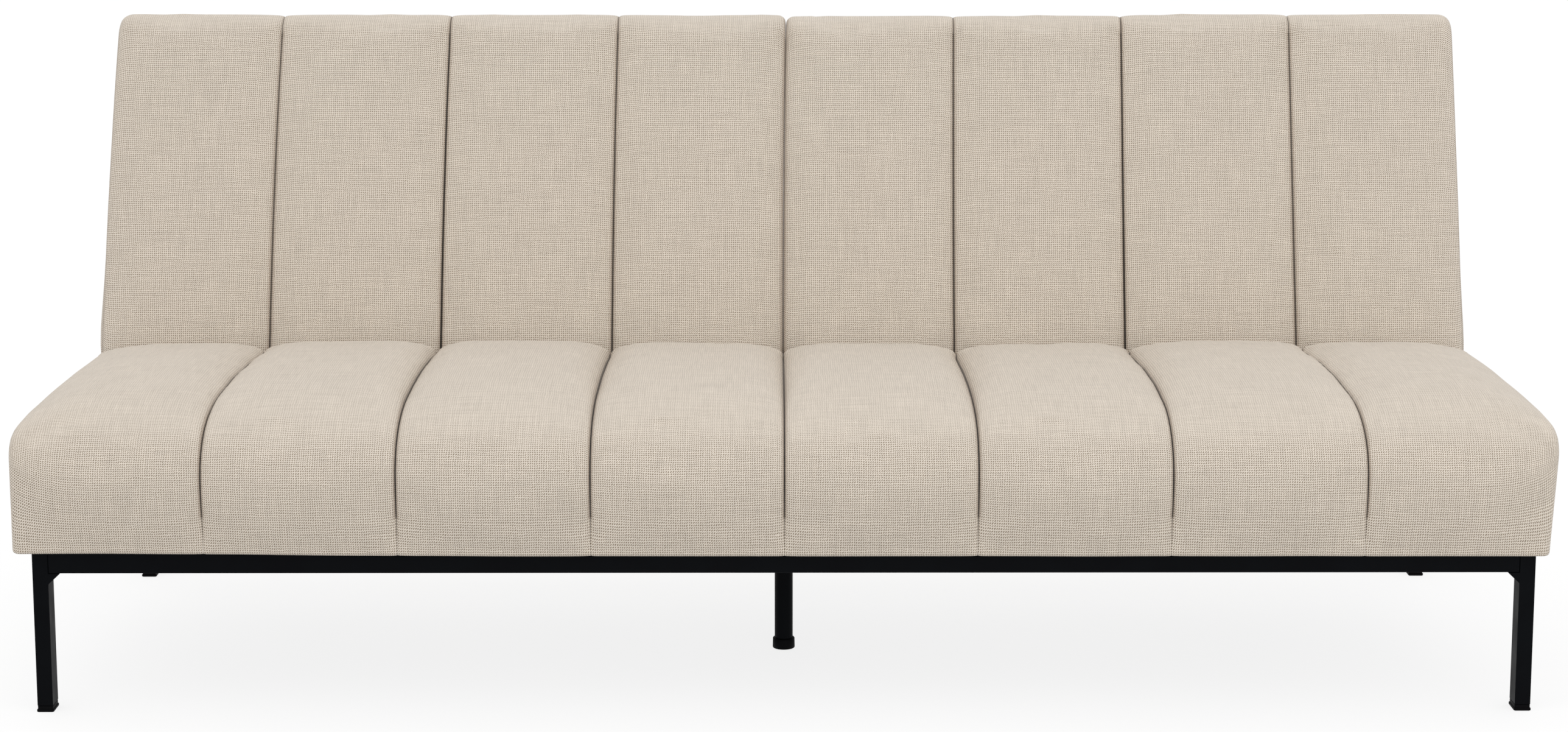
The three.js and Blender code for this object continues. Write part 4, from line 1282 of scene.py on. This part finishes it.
for side, sign in SIDES.items():
    low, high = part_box(f"back_rear_panel_{side}")
    ends = back_hollow_ends + seated_gap
    rounds = (rear_panel_round, rear_panel_round)
    stations = quilt_stations((low.x, high.x), [], rounds, (False, False), (0, 0), 24)
    section = panel_outline(rear_panel_thickness - rear_panel_clearance, ends)
    panel_form = {
        "core": (back_thickness - rear_panel_thickness / 2, back_length / 2),
        "drawn": (rear_panel_drawn, rear_panel_drawn), "seed": 31 + sign,
    }
    panel = make_cushion(f"rear_panel_{side}", section, section, stations, panel_form, back_place)
    crown_panel(panel, low, high, ends)
    cut_away(panel, make_block("panel_pockets", *pocket_boxes(sign), back_place))
    dress(panel, rear_cloth, f"back_{side}", "rear_fabric", f"back_rear_panel_{side}")

# Dust cloth under the seat


def make_dust_cloth():
    """A thin cloth stapled under the seat's frame: a grid that sags between the frame's members by
    a parabola each way, with faint folds that run in from its staples, and the same grid a
    thickness higher, joined at the rim."""
    low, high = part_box("seat_dust_cloth")
    across, along = dust_cloth_grid
    x = np.linspace(low.x, high.x, across)
    y = np.linspace(low.y, high.y, along)
    grid_x, grid_y = np.meshgrid(x, y, indexing="ij")
    bay = np.abs(grid_x) / high.x
    in_bay = 1 - (2 * bay - 1)**2
    deep = 1 - (2 * (grid_y - low.y) / (high.y - low.y) - 1)**2
    sag = dust_cloth_sag * in_bay * deep
    from_edge = np.minimum(grid_y - low.y, high.y - grid_y)
    folds = dust_cloth_folds * np.cos(2 * math.pi * grid_x / staple_pitch)
    folds *= np.exp(-from_edge / dust_cloth_fold_reach)
    bottom = (low.z + high.z) / 2 + folds * in_bay - sag
    top = bottom + dust_cloth_thickness
    rings = [np.stack([grid_x, grid_y, height], axis=2).reshape(-1, 3) for height in (top, bottom)]
    j, i = np.meshgrid(np.arange(across - 1), np.arange(along - 1), indexing="ij")
    a = (j * along + i).ravel()
    face = np.stack([a, a + along, a + along + 1, a + 1], axis=1)
    lower = face[:, ::-1] + across * along
    border = np.concatenate([
        np.arange(across) * along, (across - 1) * along + np.arange(1, along),
        np.arange(across - 2, -1, -1) * along + along - 1, np.arange(along - 2, 0, -1),
    ])
    after = np.roll(border, -1)
    rim = np.stack([border, border + across * along, after + across * along, after], axis=1)
    faces = np.vstack([face, lower, rim])
    vertices = np.vstack(rings)
    maps = {"cloth": vertices[faces.ravel()][:, :2]}
    piece = make_mesh("seat_dust_cloth_sheet", vertices, faces.tolist(), maps)
    dress(piece, dust_cloth, "base", "dust_cloth", "seat_dust_cloth")


make_dust_cloth()


# Solids through closed rings

def make_solids(name, solids):
    """Solids as one mesh. Each is an array (ring, point, x y z) whose rings follow each other along
    a direction and turn anticlockwise round it, closed by a fan at each end."""
    vertices, faces, start = [], [], 0
    for rings in solids:
        quads, fans = closed_grid(*rings.shape[:2])
        vertices.append(np.vstack([rings.reshape(-1, 3), rings[[0, -1]].mean(axis=1)]))
        faces.extend((quads + start).tolist() + (fans + start).tolist())
        start += len(vertices[-1])
    piece = make_mesh(name, np.vstack(vertices), faces)
    piece.data.set_sharp_from_angle(angle=hard_edge_angle)
    return piece


def turned(profile, axis, centre, count=48):
    """A profile of (place along the axis, radius) turned round the axis: the place, and the radius
    times the cosine and the sine of an even angle in the two directions that follow it."""
    profile = np.array(profile)
    angle = np.linspace(0, 2 * math.pi, count, endpoint=False)
    rings = np.empty((len(profile), count, 3))
    rings[:, :, axis] = profile[:, :1]
    rings[:, :, (axis + 1) % 3] = profile[:, 1:] * np.cos(angle)
    rings[:, :, (axis + 2) % 3] = profile[:, 1:] * np.sin(angle)
    return rings + np.array(centre)


def rounded_rings(middle, levels):
    """Rounded rectangles stacked along z: each level is (z, half width, half depth, corner radius),
    and each ring's quarter circles sit in its corners."""
    angle = np.linspace(0, 2 * math.pi, 32, endpoint=False) + math.pi / 32
    side = np.stack([np.sign(np.cos(angle)), np.sign(np.sin(angle))], axis=1)
    turn = np.stack([np.cos(angle), np.sin(angle)], axis=1)
    rings = []
    for z, half_width, half_depth, radius in levels:
        flat = side * (np.array([half_width, half_depth]) - radius) + radius * turn
        rings.append(np.column_stack([flat + np.array(middle), np.full(len(flat), z)]))
    return np.array(rings)


# Feet

def make_glides():
    """A plastic cap under each corner leg: a flange with bevelled edges, a shoulder as wide as the
    tube, and a plug in the tube. A level is (z, how much wider than the tube, corner radius)."""
    for name in [node for node in frame["nodes"] if node.startswith("glide_")]:
        leg_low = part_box(name.replace("glide", "leg"))[0]
        low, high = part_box(name)
        middle = (low + high) / 2
        tube = (high - low) / 2 - Vector((1, 1, 1)) * (leg_low.y - low.y)
        top, wide, narrow = leg_low.z - seated_gap, glide_corner, glide_corner / 2
        levels = [
            (0.0, flange_proud - flange_foot[0], wide),
            (flange_foot[1], flange_proud, wide),
            (flange_height, flange_proud, wide),
            (flange_height + flange_shoulder, 0.0, wide),
            (top, 0.0, wide),
            (top, -plug_inset, narrow),
            (high.z - plug_taper[1], -plug_inset, narrow),
            (high.z, -plug_inset - plug_taper[0], narrow),
        ]
        sizes = [(z, tube.x + grown, tube.y + grown, corner) for z, grown, corner in levels]
        cap = make_solids(name.replace("glide", "glide_cap"), [rounded_rings(middle[:2], sizes)])
        dress(cap, foot_plastic, "base", "foot_plastic", name)


def make_centre_leg():
    """The round centre leg and the cup under it, each a profile of (height, radius) turned round."""
    leg_low, leg_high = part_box("centre_leg")
    foot_low, foot_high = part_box("centre_leg_foot")
    middle = (leg_low + leg_high) / 2
    centre = (middle.x, middle.y, 0)
    radius, edge = (leg_high.x - leg_low.x) / 2, leg_tube_edge
    leg_profile = [
        (leg_low.z, radius - edge), (leg_low.z + edge, radius),
        (leg_high.z - edge, radius), (leg_high.z, radius - edge),
    ]
    wide, bevel = (foot_high.x - foot_low.x) / 2, foot_bevel
    top, socket, floor = foot_high.z, radius + seated_gap, leg_low.z - seated_gap
    foot_profile = [
        (0, wide - 1.8 * bevel), (0.35 * bevel, wide - 0.6 * bevel), (1.2 * bevel, wide),
        (top - bevel, wide - foot_taper), (top - 0.3 * bevel, wide - 0.7 * bevel),
        (top, wide - 1.4 * bevel), (top, socket), (floor, socket), (floor, radius * 0.1),
    ]
    leg = make_solids("centre_leg_tube", [turned(leg_profile, 2, centre, 64)])
    dress(leg, black_paint, "base", "frame_steel", "centre_leg")
    cup = make_solids("centre_leg_cup", [turned(foot_profile, 2, centre, 64)])
    dress(cup, foot_plastic, "base", "foot_plastic", "centre_leg_foot")


make_glides()
make_centre_leg()


# Hinge pins and bolts

def mirrored(profile, sign):
    """A profile along x for the other side of the sofa: its places negated and its order turned."""
    return profile if sign > 0 else [(-place, radius) for place, radius in profile[::-1]]


def pin_profile(start, end, radius):
    """A headed pin's profile of (place, radius): a dome at each end and the shank between them."""
    head = pin_head_thickness
    dome = [(head * rise, radius * share) for rise, share in pin_head_dome]
    shank = [(start + head, pin_radius), (end - head, pin_radius)]
    low_head = [(start + rise, wide) for rise, wide in dome]
    return low_head + shank + [(end - rise, wide) for rise, wide in dome[::-1]]


def make_pins_and_bolts():
    """The pins of the four hinges, and the bolts that hold the hinges' feet."""
    bolts = []
    for side, sign in SIDES.items():
        for place, inward in (("outer", -1), ("inner", 1)):
            low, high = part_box(f"hinge_pin_{place}_{side}")
            start, end = sorted((abs(low.x), abs(high.x)))
            profile = mirrored(pin_profile(start, end, (high.z - low.z) / 2), sign)
            centre = (0, (low.y + high.y) / 2, (low.z + high.z) / 2)
            pin = make_solids(f"domed_pin_{place}_{side}", [turned(profile, 0, centre)])
            dress(pin, zinc_plate, "base", "zinc_steel", f"hinge_pin_{place}_{side}")
            low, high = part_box(f"hinge_arm_{place}_{side}")
            plate = sorted((abs(low.x), abs(high.x)))
            face = plate[inward < 0] + inward * (hinge_plate_thickness + seated_gap / 3)
            dome = [
                (face + inward * bolt_head_height * rise, bolt_head_radius * share)
                for rise, share in bolt_head_dome
            ][::inward]
            for y in (low.y + bolt_inset, high.y - bolt_inset):
                at = (0, y, low.z + foot_plate_height / 2)
                bolts.append(turned(mirrored(dome, sign), 0, at, 24))
    dress(make_solids("hinge_foot_bolts", bolts), zinc_plate, "base", "zinc_steel")


make_pins_and_bolts()


# Welds and staples

def weld_bead(x, y, low, high):
    """A bead up an inner corner: rings round a vertical line, whose radius swells and narrows once
    for each ripple, and tapers at both ends."""
    z = np.linspace(low, high, 40)
    share = (z - low) / (high - low)
    taper = np.sqrt(np.clip(1 - (2 * share - 1)**6, 0.02, 1))
    ripple = 1 + weld_ripple * np.abs(np.sin(math.pi * (z - low) / weld_ripple_pitch))
    return turned(np.column_stack([z, weld_radius * taper * ripple]), 2, (x, y, 0), 12)


def make_welds():
    """Beads where the front and rear rails meet the legs and the centre tube."""
    tube_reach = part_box("centre_tube")[1].x
    beads = []
    for rail, direction in (("rail_front", 1), ("rail_rear", -1)):
        low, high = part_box(rail)
        y = (high.y if direction > 0 else low.y) + direction * weld_proud
        for sign in (-1, 1):
            for x in (high.x - weld_proud, tube_reach + weld_proud):
                beads.append(weld_bead(sign * x, y, low.z + weld_ends[0], high.z - weld_ends[1]))
    dress(make_solids("weld_beads", beads), black_paint, "base", "frame_steel")


def staple(x, y, z, along_x):
    """A staple seen from below: a square wire that runs down out of the frame, along the cloth and
    up into the frame again, as rings round its path."""
    reach, rise, half = staple_reach, staple_rise, staple_half_wire
    path = np.array([
        [-reach, rise], [-reach, 0.2 * rise], [-0.8 * reach, 0],
        [0.8 * reach, 0], [reach, 0.2 * rise], [reach, rise],
    ])
    along = np.gradient(path, axis=0)
    along /= np.linalg.norm(along, axis=1, keepdims=True)
    out = np.stack([-along[:, 1], along[:, 0]], axis=1)
    corners = np.array([[-half, -half], [half, -half], [half, half], [-half, half]])
    rings = np.empty((len(path), 4, 3))
    run, side = (0, 1) if along_x else (1, 0)
    turn = corners if along_x else corners[::-1]
    rings[:, :, run] = path[:, :1] + out[:, :1] * turn[:, 1]
    rings[:, :, side] = turn[:, 0]
    rings[:, :, 2] = path[:, 1:] + out[:, 1:] * turn[:, 1]
    return rings + np.array([x, y, z])


def make_staples():
    """Staples all round the dust cloth, a pitch apart."""
    low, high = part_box("seat_dust_cloth")
    z = low.z - staple_drop
    staples = []
    for x in np.arange(low.x + staple_pitch, high.x - staple_pitch / 2, staple_pitch):
        staples.extend(staple(x, y, z, True) for y in (low.y + staple_inset, high.y - staple_inset))
    for y in np.arange(low.y + staple_pitch, high.y - staple_pitch / 2, staple_pitch):
        staples.extend(staple(x, y, z, False) for x in (low.x + staple_inset, high.x - staple_inset))
    dress(make_solids("dust_cloth_staples", staples), zinc_plate, "base", "zinc_steel")


make_welds()
make_staples()

# Carried-over nodes. The last of these starts that a node's name has gives its finish.

NODE_FINISHES = {
    "leg_": black_paint, "rail_": black_paint, "centre_tube": black_paint, "centre_leg": black_paint,
    "glide_": foot_plastic, "centre_leg_foot": foot_plastic, "seat_frame": wood, "seat_deck": wood,
    "back_stile": wood, "back_rail": wood, "back_arm": zinc_plate, "hinge_pin": zinc_plate,
    "pawl_": zinc_plate, "pawl_spring": spring_steel, "hinge_arm": black_paint,
}
for name, node in frame["nodes"].items():
    for start, material in NODE_FINISHES.items():
        if name.startswith(start):
            node.data.materials.clear()
            node.data.materials.append(material)
    if name.startswith(("leg_", "rail_", "centre_tube")):
        weld = node.modifiers.new("weld", "WELD")
        weld.merge_threshold = 0.02 * MM
        edge = node.modifiers.new("edge", "BEVEL")
        edge.width = steel_edge_radius
        edge.segments = 3
        edge.limit_method = "ANGLE"
        edge.angle_limit = hard_edge_angle

# Floor, light and camera

def make_floor():
    """A pale floor. The camera sees it near white, with the sofa's shadow on it."""
    corners = np.array([[-1, -1, 0], [1, -1, 0], [1, 1, 0], [-1, 1, 0]]) * floor_reach
    floor = make_mesh("floor", corners, [[0, 1, 2, 3]])
    material, tree, shader = new_material("pale_floor")
    seen = seen_plainly(tree)
    fill(tree, shader, {
        "Base Color": mix_colour(tree, seen, grey(floor_unseen), grey(floor_seen)),
        "Roughness": 1.0, "Specular IOR Level": 0.0,
    })
    strength = maths(tree, "MULTIPLY", seen, floor_glow)
    glow = new_node(tree, "ShaderNodeEmission", {"Color": grey(1.0), "Strength": strength})
    both = new_node(tree, "ShaderNodeAddShader")
    tree.links.new(shader.outputs[0], both.inputs[0])
    tree.links.new(glow.outputs[0], both.inputs[1])
    fill(tree, find_node(tree, "OUTPUT_MATERIAL"), {"Surface": both.outputs[0]})
    floor.data.materials.append(material)


def make_world():
    """Soft light from all round, which the camera, gloss and glass see as white."""
    world = bpy.data.worlds.new("studio")
    bpy.context.scene.world = world
    world.use_nodes = True
    tree = world.node_tree
    more = world_seen - world_unseen
    strength = maths(tree, "MULTIPLY_ADD", seen_plainly(tree), more, world_unseen)
    fill(tree, find_node(tree, "BACKGROUND"), {"Color": grey(1.0), "Strength": strength})


def make_lamp(name, place, aim, size, power):
    """A large soft lamp that points at aim."""
    lamp = bpy.data.lights.new(name, "AREA")
    lamp.shape = "RECTANGLE"
    lamp.size, lamp.size_y = size
    lamp.energy = power
    holder = add_object(name, lamp)
    holder.location = place
    holder.rotation_euler = (Vector(aim) - Vector(place)).to_track_quat("-Z", "Y").to_euler()


def make_camera():
    """The photograph's view: from the front and a little above, with a long lens."""
    camera = bpy.data.cameras.new("camera")
    camera.sensor_width = 36
    camera.lens = camera_lens
    camera.shift_y = camera_shift
    holder = add_object("camera", camera)
    holder.location = camera_place
    holder.rotation_euler = (math.pi / 2 - camera_pitch, 0, camera_yaw)
    bpy.context.scene.camera = holder


make_floor()
make_world()
for name, setting in lamps.items():
    make_lamp(name, *setting)
make_camera()
bpy.context.scene.view_settings.view_transform = "Standard"
